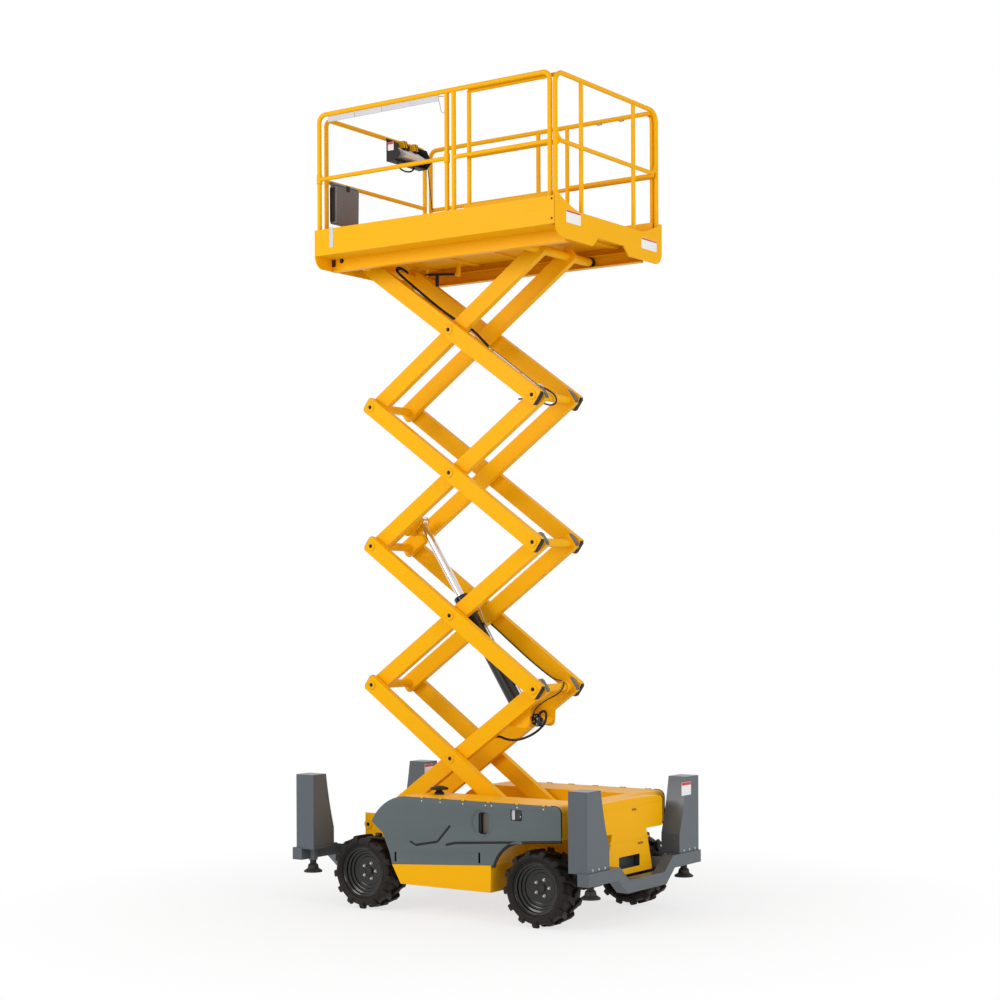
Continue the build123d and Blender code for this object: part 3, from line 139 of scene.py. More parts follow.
# Surface grain: orange peel on paint, pebble on mouldings, pits on castings.
surface_grain, grain_in, grain_out = new_group(
    "surface_grain",
    [("Scale", "NodeSocketFloat", 300.0), ("Unevenness", "NodeSocketFloat", 0.25),
     ("Smooth", "NodeSocketFloat", 0.25), ("Rough", "NodeSocketFloat", 0.4)],
    [("Height", "NodeSocketFloat"), ("Roughness", "NodeSocketFloat")])
fine = noise(surface_grain, grain_in.outputs["Scale"], 2.0)
broad = math_node(surface_grain, "MULTIPLY", noise(surface_grain, 1.7, 3.0), grain_in.outputs["Unevenness"])
feed(surface_grain, grain_out.inputs["Height"], math_node(surface_grain, "ADD", fine, broad))
spread = math_node(surface_grain, "SUBTRACT", grain_in.outputs["Rough"], grain_in.outputs["Smooth"])
spread = math_node(surface_grain, "MULTIPLY", spread, noise(surface_grain, 5.0, 4.0))
spread = math_node(surface_grain, "ADD", grain_in.outputs["Smooth"], spread)
feed(surface_grain, grain_out.inputs["Roughness"], spread)

COAT_ROUGHNESS = 0.12
DUST_ROUGHNESS = 0.35            # added where the dust lies
GRAIN_HEIGHT = 0.002


def finish(name, colour, smooth, rough, grain=300.0, bump=0.05, dust=0.35, reach=0.7, patches=0.08,
           metallic=0.0, coat=0.0, edge=0.003, dust_colour=CLAY, shine=0.5):
    """A material with dust, grain and softened edges on a Principled shader.

    smooth and rough bound its roughness, grain is the grain's scale and bump its strength, reach is
    the height in metres that the dust gets to, and edge the radius that the plate's edges show.
    """
    material = bpy.data.materials.new(name)
    material.use_nodes = True
    tree = material.node_tree
    dusty = added(tree, "ShaderNodeGroup", site_dust, Colour=(*colour, 1), Dust=dust_colour, Amount=dust, Reach=reach,
                  Patches=patches)
    grained = added(tree, "ShaderNodeGroup", surface_grain, Scale=grain, Smooth=smooth, Rough=rough)
    roughness = math_node(tree, "MULTIPLY", dusty.outputs["Mask"], DUST_ROUGHNESS)
    roughness = math_node(tree, "ADD", roughness, grained.outputs["Roughness"], clamp=True)
    relief = added(tree, "ShaderNodeBump", Strength=bump, Distance=GRAIN_HEIGHT, Height=grained.outputs["Height"])
    if edge:
        soft = added(tree, "ShaderNodeBevel", Radius=edge)
        soft.samples = 4
        feed(tree, relief.inputs["Normal"], soft.outputs[0])
    for socket, value in (("Metallic", metallic), ("Coat Weight", coat), ("Coat Roughness", COAT_ROUGHNESS),
                          ("Specular IOR Level", shine), ("Base Color", dusty.outputs["Colour"]),
                          ("Roughness", roughness), ("Normal", relief.outputs[0])):
        feed(tree, tree.nodes["Principled BSDF"].inputs[socket], value)
    return material


def dress(slot, material):
    """Gives the material to every CAD node of that slot."""
    for node, node_slot in slot_of.items():
        if node_slot == slot:
            nodes[node].data.materials.clear()
            nodes[node].data.materials.append(material)


yellow = finish("yellow_enamel", (0.93, 0.455, 0.002), 0.30, 0.46, grain=260, bump=0.04, dust=0.10,
                reach=0.5, patches=0.02, shine=0.08, dust_colour=(0.50, 0.25, 0.05, 1))
dress("yellow_paint", yellow)

# ------------------------------------------------------------------ scissor pins and their bolts
# Each cross pin is a steel bar through both arm pairs, with a cap at each end. A dark screw
# and its washer hold each cap, apart from the pin that slides under the platform.


def keep(piece, body, material=None):
    """Finishes a piece: its material and the body it rides on."""
    if material:
        piece.data.materials.clear()
        piece.data.materials.append(material)
    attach(piece, body)
    return piece


def linked(name, data):
    """A new object for that data, in the scene."""
    piece = bpy.data.objects.new(name, data)
    bpy.context.scene.collection.objects.link(piece)
    return piece


def baked(source, name):
    """The evaluated source as a plain mesh object, and the source removed."""
    depsgraph = bpy.context.evaluated_depsgraph_get()
    depsgraph.update()
    mesh = bpy.data.meshes.new_from_object(source.evaluated_get(depsgraph))
    mesh.name = name
    mesh.transform(source.matrix_world)
    bpy.data.objects.remove(source)
    return linked(name, mesh)


def geometry_tree(name, inputs):
    """An empty geometry node group: the tree, each input's identifier, and the nodes at its ends."""
    tree = bpy.data.node_groups.new(name, "GeometryNodeTree")
    sockets = {}
    for socket, kind, value in (("Geometry", "NodeSocketGeometry", None), *inputs,
                                ("Finish", "NodeSocketMaterial", None)):
        made = tree.interface.new_socket(socket, in_out="INPUT", socket_type=kind)
        if value is not None:
            made.default_value = value
        sockets[socket] = made.identifier
    tree.interface.new_socket("Geometry", in_out="OUTPUT", socket_type="NodeSocketGeometry")
    return tree, sockets, tree.nodes.new("NodeGroupInput"), tree.nodes.new("NodeGroupOutput")


def end_with_copies(tree, into, out, points, copied, rotation):
    """Ends a tree with a turned copy on every point, made real and painted with the Finish input."""
    placed = added(tree, "GeometryNodeInstanceOnPoints", Points=points, Instance=copied, Rotation=rotation)
    real = added(tree, "GeometryNodeRealizeInstances", Geometry=placed.outputs[0])
    painted = added(tree, "GeometryNodeSetMaterial", Geometry=real.outputs[0], Material=into.outputs["Finish"])
    feed(tree, out.inputs[0], painted.outputs[0])


def attribute(tree, name, kind):
    """A named attribute of each point."""
    node = tree.nodes.new("GeometryNodeInputNamedAttribute")
    node.data_type = kind
    node.inputs["Name"].default_value = name
    return node.outputs[0]


def grown(source, name, tree, sockets, settings):
    """The source run through a geometry node tree with those settings, as a plain mesh object."""
    modifier = source.modifiers.new(tree.name, "NODES")
    modifier.node_group = tree
    for socket, value in settings.items():
        modifier[sockets[socket]] = value
    return baked(source, name)


def fastener_tree():
    """Geometry nodes: a washer and a chamfered hex head at every point, facing its own way."""
    tree, sockets, into, out = geometry_tree("fasteners", (
        ("Head Radius", "NodeSocketFloat", 0.012), ("Head Height", "NodeSocketFloat", 0.008),
        ("Washer Radius", "NodeSocketFloat", 0.016), ("Washer Height", "NodeSocketFloat", 0.002),
        ("Sides", "NodeSocketInt", 6)))
    given = into.outputs
    washer = added(tree, "GeometryNodeMeshCylinder", Vertices=20, Radius=given["Washer Radius"],
                   Depth=given["Washer Height"])
    head = added(tree, "GeometryNodeMeshCylinder", Vertices=given["Sides"], Radius=given["Head Radius"],
                 Depth=given["Head Height"])
    crown = added(tree, "GeometryNodeMeshCone", Vertices=given["Sides"], Radius_Bottom=given["Head Radius"],
                  Radius_Top=math_node(tree, "MULTIPLY", given["Head Radius"], 0.78),
                  Depth=math_node(tree, "MULTIPLY", given["Head Height"], 0.22))
    half = math_node(tree, "MULTIPLY", given["Washer Height"], 0.5)
    middle = math_node(tree, "MULTIPLY", given["Head Height"], 0.5)
    middle = math_node(tree, "ADD", middle, given["Washer Height"])
    top = math_node(tree, "ADD", given["Head Height"], given["Washer Height"])
    pile = tree.nodes.new("GeometryNodeJoinGeometry")
    for part, lift in ((washer, half), (head, middle), (crown, top)):
        up = added(tree, "ShaderNodeCombineXYZ", Z=lift)
        moved = added(tree, "GeometryNodeTransform", Geometry=part.outputs["Mesh"], Translation=up.outputs[0])
        feed(tree, pile.inputs[0], moved.outputs[0])
    turn = added(tree, "FunctionNodeAlignRotationToVector", Vector=attribute(tree, "facing", "FLOAT_VECTOR"))
    turn.axis = "Z"
    end_with_copies(tree, into, out, given["Geometry"], pile.outputs[0], turn.outputs[0])
    return tree, sockets


fasteners, fastener_sockets = fastener_tree()


def bolts(name, places, body, material, head=0.012, tall=0.008, washer=0.016, sides=6):
    """Fasteners at (point, facing) places, made one mesh that rides on one body."""
    mesh = bpy.data.meshes.new(name)
    mesh.from_pydata([tuple(point) for point, _ in places], [], [])
    way = mesh.attributes.new("facing", "FLOAT_VECTOR", "POINT")
    for index, (_, direction) in enumerate(places):
        way.data[index].vector = Vector(direction).normalized()
    piece = grown(linked(name + "_points", mesh), name, fasteners, fastener_sockets,
                  {"Head Radius": head, "Head Height": tall, "Washer Radius": washer, "Sides": sides,
                   "Finish": material})
    return keep(piece, body)


zinc = finish("zinc_plate", (0.60, 0.61, 0.60), 0.28, 0.45, grain=500, bump=0.03, dust=0.2,
              metallic=0.85, edge=0)
dark_steel = finish("pin_steel", (0.022, 0.015, 0.011), 0.35, 0.55, grain=420, bump=0.08, dust=0.1, patches=0.03,
                    metallic=0.3, edge=0, shine=0.3)

joints = {joint["name"]: joint for joint in frame["joints"]}
STAGES = 4
foot_pivots = [Vector(joints["scissor_raise"]["pos_m"])]
foot_pivots += [Vector(joints[f"stage_{stage}_foot"]["pos_m"]) for stage in range(2, STAGES + 1)]
mid_pivots = [Vector(joints[f"stage_{stage}_cross"]["pos_m"]) for stage in range(1, STAGES + 1)]
head_pivots = [mid * 2 - foot for mid, foot in zip(mid_pivots, foot_pivots)]
ALONG, ACROSS, UP = Vector((1, 0, 0)), Vector((0, 1, 0)), Vector((0, 0, 1))
CAP_Y = 0.3623                   # outer faces of the pins' caps
SCREW_OUT = 0.0005               # of a screw off the cap, so that the faces don't meet
for stage in range(STAGES):
    pivots = [foot_pivots[stage], mid_pivots[stage], head_pivots[stage]]
    if stage == STAGES - 1:
        pivots.pop()             # the last one slides under the platform and has no screw
    places = []
    for pivot in pivots:
        in_chassis = pivot is foot_pivots[0]
        cap_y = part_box("inner_arms_1")[1].y if in_chassis else CAP_Y
        for side in (-1, 1):
            places.append((pivot + ACROSS * side * (cap_y + SCREW_OUT), ACROSS * side))
    bolts(f"pin_screws_{stage + 1}", places, f"inner_{stage + 1}", dark_steel,
          head=0.012, tall=0.009, washer=0.018)

# ------------------------------------------------------------------ end plugs of the arms
# The arms are open box tube. A moulded plug closes each mouth, with a lip that stands on the
# tube's end and a body pushed inside: grey in the inner arms and black in the outer ones.


def frame_at(origin, x_axis, y_axis):
    """A matrix that puts x and y along the given directions at origin."""
    x_axis = Vector(x_axis).normalized()
    y_axis = Vector(y_axis).normalized()
    z_axis = x_axis.cross(y_axis)
    return Matrix.Translation(Vector(origin)) @ Matrix((x_axis, y_axis, z_axis)).transposed().to_4x4()


def block(mesh, place, size, bevel=0.0, taper=1.0):
    """Adds a bevelled box of that size, centred on a matrix, its +Z face scaled by taper."""
    made = bmesh.ops.create_cube(mesh, size=1.0)["verts"]
    for vert in made:
        scale = taper if vert.co.z > 0 else 1.0
        vert.co = Vector((vert.co.x * size[0] * scale, vert.co.y * size[1] * scale, vert.co.z * size[2]))
    if bevel:
        edges = list(dict.fromkeys(edge for vert in made for edge in vert.link_edges))
        result = bmesh.ops.bevel(mesh, geom=edges, offset=bevel, segments=2, profile=0.6, affect="EDGES")
        left = [vert for vert in made if vert.is_valid]
        made = list(dict.fromkeys([vert for face in result["faces"] for vert in face.verts] + left))
    bmesh.ops.transform(mesh, matrix=place, verts=made)


def slab(mesh, centre, size, bevel, x_axis=ALONG, y_axis=UP):
    """Adds a bevelled box at centre, its first size along x_axis and its second along y_axis."""
    block(mesh, frame_at(centre, x_axis, y_axis), size, bevel)


SMOOTH_ANGLE = math.radians(32)  # a sharper edge than this stays sharp


def settled(name, mesh):
    """The bmesh as an object, its doubles merged, its normals outward and its curves smooth."""
    bmesh.ops.remove_doubles(mesh, verts=mesh.verts, dist=1e-6)
    bmesh.ops.recalc_face_normals(mesh, faces=mesh.faces)
    data = bpy.data.meshes.new(name)
    for edge in mesh.edges:
        edge.smooth = len(edge.link_faces) == 2 and edge.calc_face_angle(4.0) < SMOOTH_ANGLE
    for face in mesh.faces:
        face.smooth = True
    mesh.to_mesh(data)
    mesh.free()
    return linked(name, data)


# black moulded rubber for real rubber parts; the same material also makes the black strips of painted shade on the side
# covers
black_rubber_and_shade = finish("moulded_rubber_and_painted_shade", (0.012, 0.012, 0.013), 0.45, 0.62, grain=380, bump=0.12, dust=0.15,
                      patches=0.04, edge=0, shine=0.25)
ARM_TAIL = 0.062                 # an arm's end beyond its pivot
ARM_DEPTH, ARM_W = 0.150, 0.064
INNER_ARM_Y, OUTER_ARM_Y = 0.242, 0.322     # middle planes of the arms
PLUG_LIP = 0.007                 # how far a plug's lip stands out of the mouth
LIP_INSET = (0.040, 0.010)       # how much smaller the lip is than the tube, in depth and width
BODY_INSET = 0.014               # the same for the part inside
BODY_LEN = 0.024


def end_plugs(name, ends, mid_y, body, material):
    """Plugs in the mouths of a pair of arms, at each pivot in ends and facing away from its partner."""
    mesh = bmesh.new()
    for tip, partner in ends:
        way = (tip - partner).normalized()
        for side in (-1, 1):
            mouth = tip + way * ARM_TAIL + ACROSS * side * mid_y
            upright = way.cross(ACROSS)
            slab(mesh, mouth + way * PLUG_LIP / 2, (ARM_DEPTH - LIP_INSET[0], ARM_W - LIP_INSET[1], PLUG_LIP),
                 0.0025, upright, ACROSS)
            slab(mesh, mouth - way * BODY_LEN / 2, (ARM_DEPTH - BODY_INSET, ARM_W - BODY_INSET, BODY_LEN),
                 0.002, upright, ACROSS)
    return keep(settled(name, mesh), body, material)


plug_grey = finish("grey_plug", (0.115, 0.135, 0.125), 0.40, 0.55, grain=380, bump=0.1, dust=0.1, edge=0,
                   shine=0.3)
for stage in range(STAGES):
    foot, head = foot_pivots[stage], head_pivots[stage]
    low_right = Vector((head.x, 0, foot.z))
    high_left = Vector((foot.x, 0, head.z))
    top_stage = stage == STAGES - 1
    inner_ends = ((foot, head),) if top_stage else ((foot, head), (head, foot))
    end_plugs(f"inner_arm_plugs_{stage + 1}", inner_ends, INNER_ARM_Y, f"inner_{stage + 1}", plug_grey)
    end_plugs(f"outer_arm_plugs_{stage + 1}", ((high_left, low_right), (low_right, high_left)), OUTER_ARM_Y,
              f"outer_{stage + 1}", black_rubber_and_shade)
    if top_stage:
        # the sliding end at the platform is closed with plates painted like the arms
        end_plugs("inner_arm_tops", ((head, foot),), INNER_ARM_Y, f"inner_{stage + 1}", yellow)

# ------------------------------------------------------------------ hoses on the top stage
# Two hydraulic hoses come down from the platform inside the near arms, go over to steel pipe
# past the crossing, and are clamped to a carrier tube that turns on the lower pivot's tube.


def tube_along(name, points, radius, body, material, smooth=True):
    """A round tube on a smooth line led by the given control points, or on a straight-sided one."""
    curve = bpy.data.curves.new(name, "CURVE")
    curve.dimensions = "3D"
    curve.bevel_depth = radius
    curve.bevel_resolution = 2
    curve.use_fill_caps = True
    spline = curve.splines.new("NURBS" if smooth else "POLY")
    spline.points.add(len(points) - 1)
    for point, place in zip(spline.points, points):
        point.co = (*place, 1)
    if smooth:
        spline.order_u = 3
        spline.use_endpoint_u = True
        spline.resolution_u = 8
    piece = baked(linked(name + "_line", curve), name)
    for face in piece.data.polygons:
        face.use_smooth = True
    return keep(piece, body, material)


def join_rings(mesh, rings):
    """Faces between neighbouring rings of vertices, the last ring joined to the first."""
    for ring, after in zip(rings, rings[1:] + rings[:1]):
        for index in range(len(ring)):
            following = (index + 1) % len(ring)
            mesh.faces.new((ring[index], ring[following], after[following], after[index]))


def band(mesh, centre, axis, radius, thick, width, steps=24):
    """Adds a short round collar about an axis, with that inner radius and chamfered rims."""
    axis = Vector(axis).normalized()
    side = axis.orthogonal().normalized()
    other = axis.cross(side)
    rings = []
    section = ((-0.5, 0), (-0.5, 0.8), (-0.35, 1), (0.35, 1), (0.5, 0.8), (0.5, 0))
    for step in range(steps):
        turn = 2 * math.pi * step / steps
        way = side * math.cos(turn) + other * math.sin(turn)
        rings.append([mesh.verts.new(Vector(centre) + axis * (along * width) + way * (radius + out * thick))
                      for along, out in section])
    join_rings(mesh, rings)


def boxes(name, body, slot, material, *shapes):
    """A piece made of bevelled boxes, each given as what slab takes after the mesh."""
    mesh = bmesh.new()
    for shape in shapes:
        slab(mesh, *shape)
    return keep(settled(name, mesh), body, material)


hose_rubber = finish("hose_rubber", (0.008, 0.008, 0.009), 0.38, 0.55, grain=900, bump=0.05, dust=0.1,
                     patches=0.03, edge=0, shine=0.3)
pipe_steel = finish("pipe_steel", (0.36, 0.33, 0.28), 0.3, 0.48, grain=600, bump=0.03, metallic=0.7, edge=0)
top_left = Vector((foot_pivots[-1].x, 0, head_pivots[-1].z))
low_right = Vector((head_pivots[-1].x, 0, foot_pivots[-1].z))
down_arm = (low_right - top_left).normalized()
off_arm = Vector((-down_arm.z, 0, down_arm.x))


def on_top_arm(along, above, y):
    """A point along the top stage's outer arm from its upper pivot, above its middle line, at y."""
    return top_left + down_arm * along + off_arm * above + ACROSS * y


PIVOT_TUBE_R = 0.0390            # of the cross tubes round the arms' pivots
CARRIER_Y = -0.178
HOSE_Y = (CARRIER_Y - 0.010, CARRIER_Y + 0.010)
HOSE_LIFT = 0.080                # of the first hose above the arm's middle line
HOSE_R, SMALL_HOSE_R = 0.0115, 0.0065
# the routes below are distance along the arm, lift off the hose's own line, and shift in y
HOSE_ROUTE = ((0.24, 0.050, 0.05), (0.15, 0.060, 0.03), (0.14, 0.010, 0), (0.30, 0, 0), (0.55, -0.012, 0),
              (0.90, -0.022, 0), (1.15, 0.006, 0), (1.26, 0.010, 0), (1.40, -0.012, 0), (1.47, -0.018, 0))
PIPE_ROUTE = ((1.45, -0.017, 0), (1.60, -0.018, 0), (2.06, -0.024, 0), (2.14, -0.024, 0))
for number, hose_y in enumerate(HOSE_Y):
    lift = HOSE_LIFT - 0.008 * number
    for kind, route, radius, slot, material in (("hose", HOSE_ROUTE, HOSE_R, "black_plastic", hose_rubber),
                                                ("pipe", PIPE_ROUTE, 0.0050, "roller_steel", pipe_steel)):
        tube_along(f"platform_{kind}_{number + 1}",
                   [on_top_arm(along, lift + up, hose_y + shift) for along, up, shift in route],
                   radius, "outer_4", material)
tube_along("hose_carrier", [on_top_arm(along, up, CARRIER_Y) for along, up in
                            ((0.0, 0.031), (0.10, 0.042), (1.1, 0.044), (2.06, 0.036), (2.20, 0.036))],
           0.007, "outer_4", yellow)
boxes("hose_clamps", "outer_4", "yellow_paint", yellow, *(
    (on_top_arm(along, up, CARRIER_Y), (0.014, 0.040, 0.034), 0.004, down_arm, ACROSS)
    for along, up in ((0.40, 0.058), (0.85, 0.052), (1.20, 0.066), (1.52, 0.052), (1.90, 0.048))))
# the carrier's eye turns on the lower pivot's tube, and the pipes end in its union block
carrier_eye = bmesh.new()
band(carrier_eye, low_right + ACROSS * CARRIER_Y, ACROSS, PIVOT_TUBE_R + 0.0005, 0.010, 0.044)
keep(settled("carrier_eye", carrier_eye), "outer_4", yellow)
boxes("pipe_union", "outer_4", "roller_steel", zinc,
      (on_top_arm(2.15, 0.056, CARRIER_Y), (0.050, 0.052, 0.030), 0.004, down_arm, ACROSS))
# from the union over the pivot's tube and back in under the arm
UNION_ROUTE = ((2.16, 0.058, -0.178), (2.22, 0.070, -0.16), (2.285, 0.058, -0.10), (2.31, 0.0, -0.05),
               (2.285, -0.055, -0.06), (2.20, -0.075, -0.12), (2.08, -0.110, -0.16), (2.02, -0.160, -0.178))
tube_along("union_hose", [on_top_arm(*place) for place in UNION_ROUTE], 0.0075, "outer_4",
           hose_rubber)

# ------------------------------------------------------------------ lift cylinder
# The barrel is honed steel tube painted black, with welded oil ports and a rigid pipe to the
# rod end. The rod is hard chrome, and a hose feeds the base.
black_paint = finish("black_enamel", (0.005, 0.0045, 0.004), 0.20, 0.34, grain=320, bump=0.04, dust=0.12,
                     patches=0.04, coat=0.55, shine=0.18, dust_colour=(0.060, 0.036, 0.020, 1))
dress("black_paint", black_paint)
chrome = finish("hard_chrome", (0.74, 0.75, 0.77), 0.06, 0.14, grain=700, bump=0.008, dust=0.04, patches=0.02,
                metallic=1.0, edge=0)
dress("chrome_rod", chrome)
base_pin = Vector(joints["cylinder_tilt"]["pos_m"])
stroke = Vector(joints["cylinder_stroke"]["axis"]).normalized()
beside = ACROSS.cross(stroke)


def on_barrel(along, out, y):
    """A point along the barrel from its base pin, out to the side that faces the arms' ends, at y."""
    return base_pin + stroke * along + beside * out + ACROSS * y


SOLID = 0.0001                   # inner radius of a collar that stands for a solid disc or nut


def disc(mesh, centre, axis, radius, width, steps=24):
    """Adds a solid disc about an axis."""
    band(mesh, centre, axis, SOLID, radius, width, steps)


BASE_PORT, GLAND_PORT, PORT_Y = 0.125, 1.19, -0.02
PIPE_Y = 0.012                   # of the pipe that runs from the base to the gland
ports = bmesh.new()
for along in (BASE_PORT, GLAND_PORT):
    block(ports, frame_at(on_barrel(along, 0.074, PORT_Y), ACROSS, stroke), (0.050, 0.046, 0.026), 0.004, 0.82)
    disc(ports, on_barrel(along, 0.096, PORT_Y), beside, 0.014, 0.022, 6)
for along in (0.36, 0.68, 1.0):  # the pipe's clips
    slab(ports, on_barrel(along, 0.072, PIPE_Y), (0.040, 0.026, 0.018), 0.003, ACROSS, stroke)
keep(settled("cylinder_ports", ports), "cylinder_barrel", black_paint)
PIPE_PLACES = ((GLAND_PORT, 0.100, PORT_Y), (GLAND_PORT, 0.122, PORT_Y), (1.10, 0.122, -0.01), (1.04, 0.086, PIPE_Y),
               (0.60, 0.084, PIPE_Y), (0.30, 0.084, PIPE_Y), (0.22, 0.092, PIPE_Y), (0.20, 0.112, 0.010))
tube_along("rod_end_pipe", [on_barrel(*place) for place in PIPE_PLACES], 0.0065, "cylinder_barrel",
           pipe_steel)
# the valve block bolted to the cross tube below the base pin, its four elbows and its hoses
valve = bmesh.new()
arm_way = (mid_pivots[0] - foot_pivots[0]).normalized()
arm_up = Vector((-arm_way.z, 0, arm_way.x))
valve_at = Vector((0.556, -0.118, 1.712))
slab(valve, valve_at, (0.062, 0.070, 0.104), 0.005, arm_way, ACROSS)
slab(valve, valve_at + Vector((-0.036, 0.010, -0.018)), (0.040, 0.050, 0.050), 0.004, arm_way, ACROSS)
for along, up, out, way in ((0.034, 0.030, 0.0, arm_way), (0.034, -0.020, 0.0, arm_way),
                            (-0.006, 0.056, -0.012, arm_up), (0.004, -0.056, -0.010, arm_up)):
    centre = valve_at + arm_way * along + arm_up * up + ACROSS * out
    disc(valve, centre, way, 0.016, 0.012, 6)
    disc(valve, centre, way, 0.011, 0.030, 6)
keep(settled("valve_block", valve), "inner_1", black_paint)
bolts("valve_bolts", [(valve_at + Vector((dx, -0.035, dz)), (0, -1, 0))
                      for dx, dz in ((-0.012, 0.034), (0.018, 0.012), (-0.018, -0.012), (0.012, -0.036))],
      "inner_1", pipe_steel, head=0.006, tall=0.005, washer=0.0085)
# listed: round the valve block and down the first stage's near arm to the chassis
FEED_ROUTE = ((0.575, -0.125, 1.764), (0.606, -0.125, 1.800), (0.655, -0.125, 1.785), (0.640, -0.125, 1.690),
              (0.575, -0.130, 1.625), (0.481, -0.140, 1.566), (0.360, -0.155, 1.526), (0.250, -0.168, 1.528),
              (0.170, -0.180, 1.562), (0.060, -0.190, 1.530), (-0.060, -0.196, 1.470), (-0.100, -0.200, 1.452))
tube_along("feed_hose", FEED_ROUTE, HOSE_R, "inner_1", hose_rubber)
# listed: from the collar on the first stage's upper pivot down to the valve block
PILOT_ROUTE = ((0.655, 0.140, 2.046), (0.690, 0.110, 2.046), (0.716, 0.060, 2.014), (0.716, 0.020, 1.972),
               (0.672, 0.000, 1.932), (0.600, -0.025, 1.896), (0.528, -0.060, 1.842), (0.494, -0.092, 1.790),
               (0.510, -0.112, 1.745), (0.530, -0.118, 1.728))
tube_along("pilot_hose", PILOT_ROUTE, 0.0060, "inner_1", hose_rubber)
# listed: down the second stage's far arm to that collar
ARM_ROUTE = ((-0.420, 0.284, 2.700), (-0.300, 0.284, 2.612), (-0.044, 0.284, 2.414), (0.213, 0.284, 2.220),
             (0.440, 0.280, 2.072), (0.520, 0.245, 2.056), (0.590, 0.195, 2.056), (0.650, 0.145, 2.048))
tube_along("arm_hose", ARM_ROUTE, SMALL_HOSE_R, "outer_2", hose_rubber)
collar = bmesh.new()
band(collar, head_pivots[0] + ACROSS * 0.142, ACROSS, PIVOT_TUBE_R, 0.018, 0.026)
keep(settled("hose_collar", collar), "inner_1", yellow)
GLAND_AT, ROD_R = 1.335, 0.0385  # the wiper's place along the barrel, and the rod's radius
gland = bmesh.new()
band(gland, on_barrel(GLAND_AT, 0, 0), stroke, ROD_R, 0.012, 0.014, 40)
keep(settled("rod_wiper", gland), "cylinder_barrel", black_rubber_and_shade)

# ------------------------------------------------------------------ side covers
# Each cover is a moulded shell hinged along its top, with a round grip recess, pressed lines,
# a window over the emergency switch and lift slots. Zinc screws hold its frame.
grey_cover = finish("moulded_cover", (0.085, 0.108, 0.112), 0.24, 0.38, grain=420, bump=0.05, dust=0.12,
                    reach=0.75, patches=0.04, coat=0.15, shine=0.4)
COVER_Y, COVER_BACK = 0.870, 0.8563         # outer and inner faces of the covers
COVER_TOP, COVER_NOSE = 1.045, 1.285        # their top edge and front end
NOSE_R = 0.060
wheel_rear = Vector(joints["spin_rear_near"]["pos_m"])
wheel_front = Vector(joints["spin_front_near"]["pos_m"])
# the front wheel's arch: its foot, middle and top
ARCH = [(wheel_front.x + along, wheel_front.z + up)
        for along, up in ((-0.433, 0.167), (-0.330, 0.323), (-0.153, 0.395))]


def arc_through(start, middle, end, steps):
    """Points on the arc through three points, without the first."""
    ax, ay = start
    bx, by = middle
    cx, cy = end
    det = 2 * (ax * (by - cy) + bx * (cy - ay) + cx * (ay - by))
    ux = ((ax * ax + ay * ay) * (by - cy) + (bx * bx + by * by) * (cy - ay) + (cx * cx + cy * cy) * (ay - by)) / det
    uy = ((ax * ax + ay * ay) * (cx - bx) + (bx * bx + by * by) * (ax - cx) + (cx * cx + cy * cy) * (bx - ax)) / det
    radius = math.hypot(ax - ux, ay - uy)
    first = math.atan2(ay - uy, ax - ux)
    half = math.atan2(by - uy, bx - ux) - first
    whole = math.atan2(cy - uy, cx - ux) - first
    half = (half + math.pi) % (2 * math.pi) - math.pi
    whole = (whole + math.pi) % (2 * math.pi) - math.pi
    if half * whole < 0:
        whole += 2 * math.pi if half > 0 else -2 * math.pi
    turns = [first + whole * step / steps for step in range(1, steps + 1)]
    return [(ux + radius * math.cos(turn), uy + radius * math.sin(turn)) for turn in turns]


def cover_outline():
    """The cover's outline in x and z, from the foot of the front wheel's arch round to the seam."""
    rear, hub, top, nose = wheel_rear.x, wheel_rear.z, COVER_TOP, COVER_NOSE
    seam_rear, seam_front = (rear + 0.346, 0.4313), (wheel_front.x - 0.454, 0.5003)
    back = (rear + 0.480, top)   # where the top edge curves down to the rear tip
    points = [seam_rear, seam_front, ARCH[0], *arc_through(*ARCH, 18)]
    points += [(nose, ARCH[2][1] + 0.034), (nose, top - NOSE_R)]
    points += arc_through((nose, top - NOSE_R), (nose - 0.0176, top - 0.0176), (nose - NOSE_R, top), 8)
    points += [back, *arc_through(back, (rear + 0.270, top - 0.070), (rear + 0.110, hub + 0.467), 18)]
    points += [(rear + 0.238, hub + 0.373), (rear + 0.317, hub + 0.204)]
    return points


def rounded_slot(mid, width, height, corner):
    """A rectangle with round corners, as points."""
    steps = 5                    # in each corner
    points = []
    for turn, (sx, sz) in enumerate(((1, 1), (-1, 1), (-1, -1), (1, -1))):
        centre = (mid[0] + sx * (width / 2 - corner), mid[1] + sz * (height / 2 - corner))
        for step in range(steps + 1):
            angle = math.pi / 2 * (turn + step / steps)
            points.append((centre[0] + corner * math.cos(angle), centre[1] + corner * math.sin(angle)))
    return points


def circle_points(mid, radius):
    """A circle, as points."""
    steps = 48
    turns = [2 * math.pi * step / steps for step in range(steps)]
    return [(mid[0] + radius * math.cos(turn), mid[1] + radius * math.sin(turn)) for turn in turns]


def line_loop(points, width):
    """The outline of a pressed line of that width with round ends."""
    steps = 6                    # in each end
    left, right = [], []
    for index, point in enumerate(points):
        before = Vector(points[max(index - 1, 0)])
        after = Vector(points[min(index + 1, len(points) - 1)])
        way = (after - before).normalized()
        side = Vector((-way.y, way.x)) * width / 2
        left.append(tuple(Vector(point) + side))
        right.append(tuple(Vector(point) - side))
    ends = []
    for tip, other in ((points[-1], points[-2]), (points[0], points[1])):
        way = (Vector(tip) - Vector(other)).normalized()
        start = math.atan2(way.y, way.x) + math.pi / 2
        ends.append([(tip[0] + width / 2 * math.cos(start - math.pi * step / steps),
                      tip[1] + width / 2 * math.sin(start - math.pi * step / steps)) for step in range(1, steps)])
    return left + ends[0] + right[::-1] + ends[1]


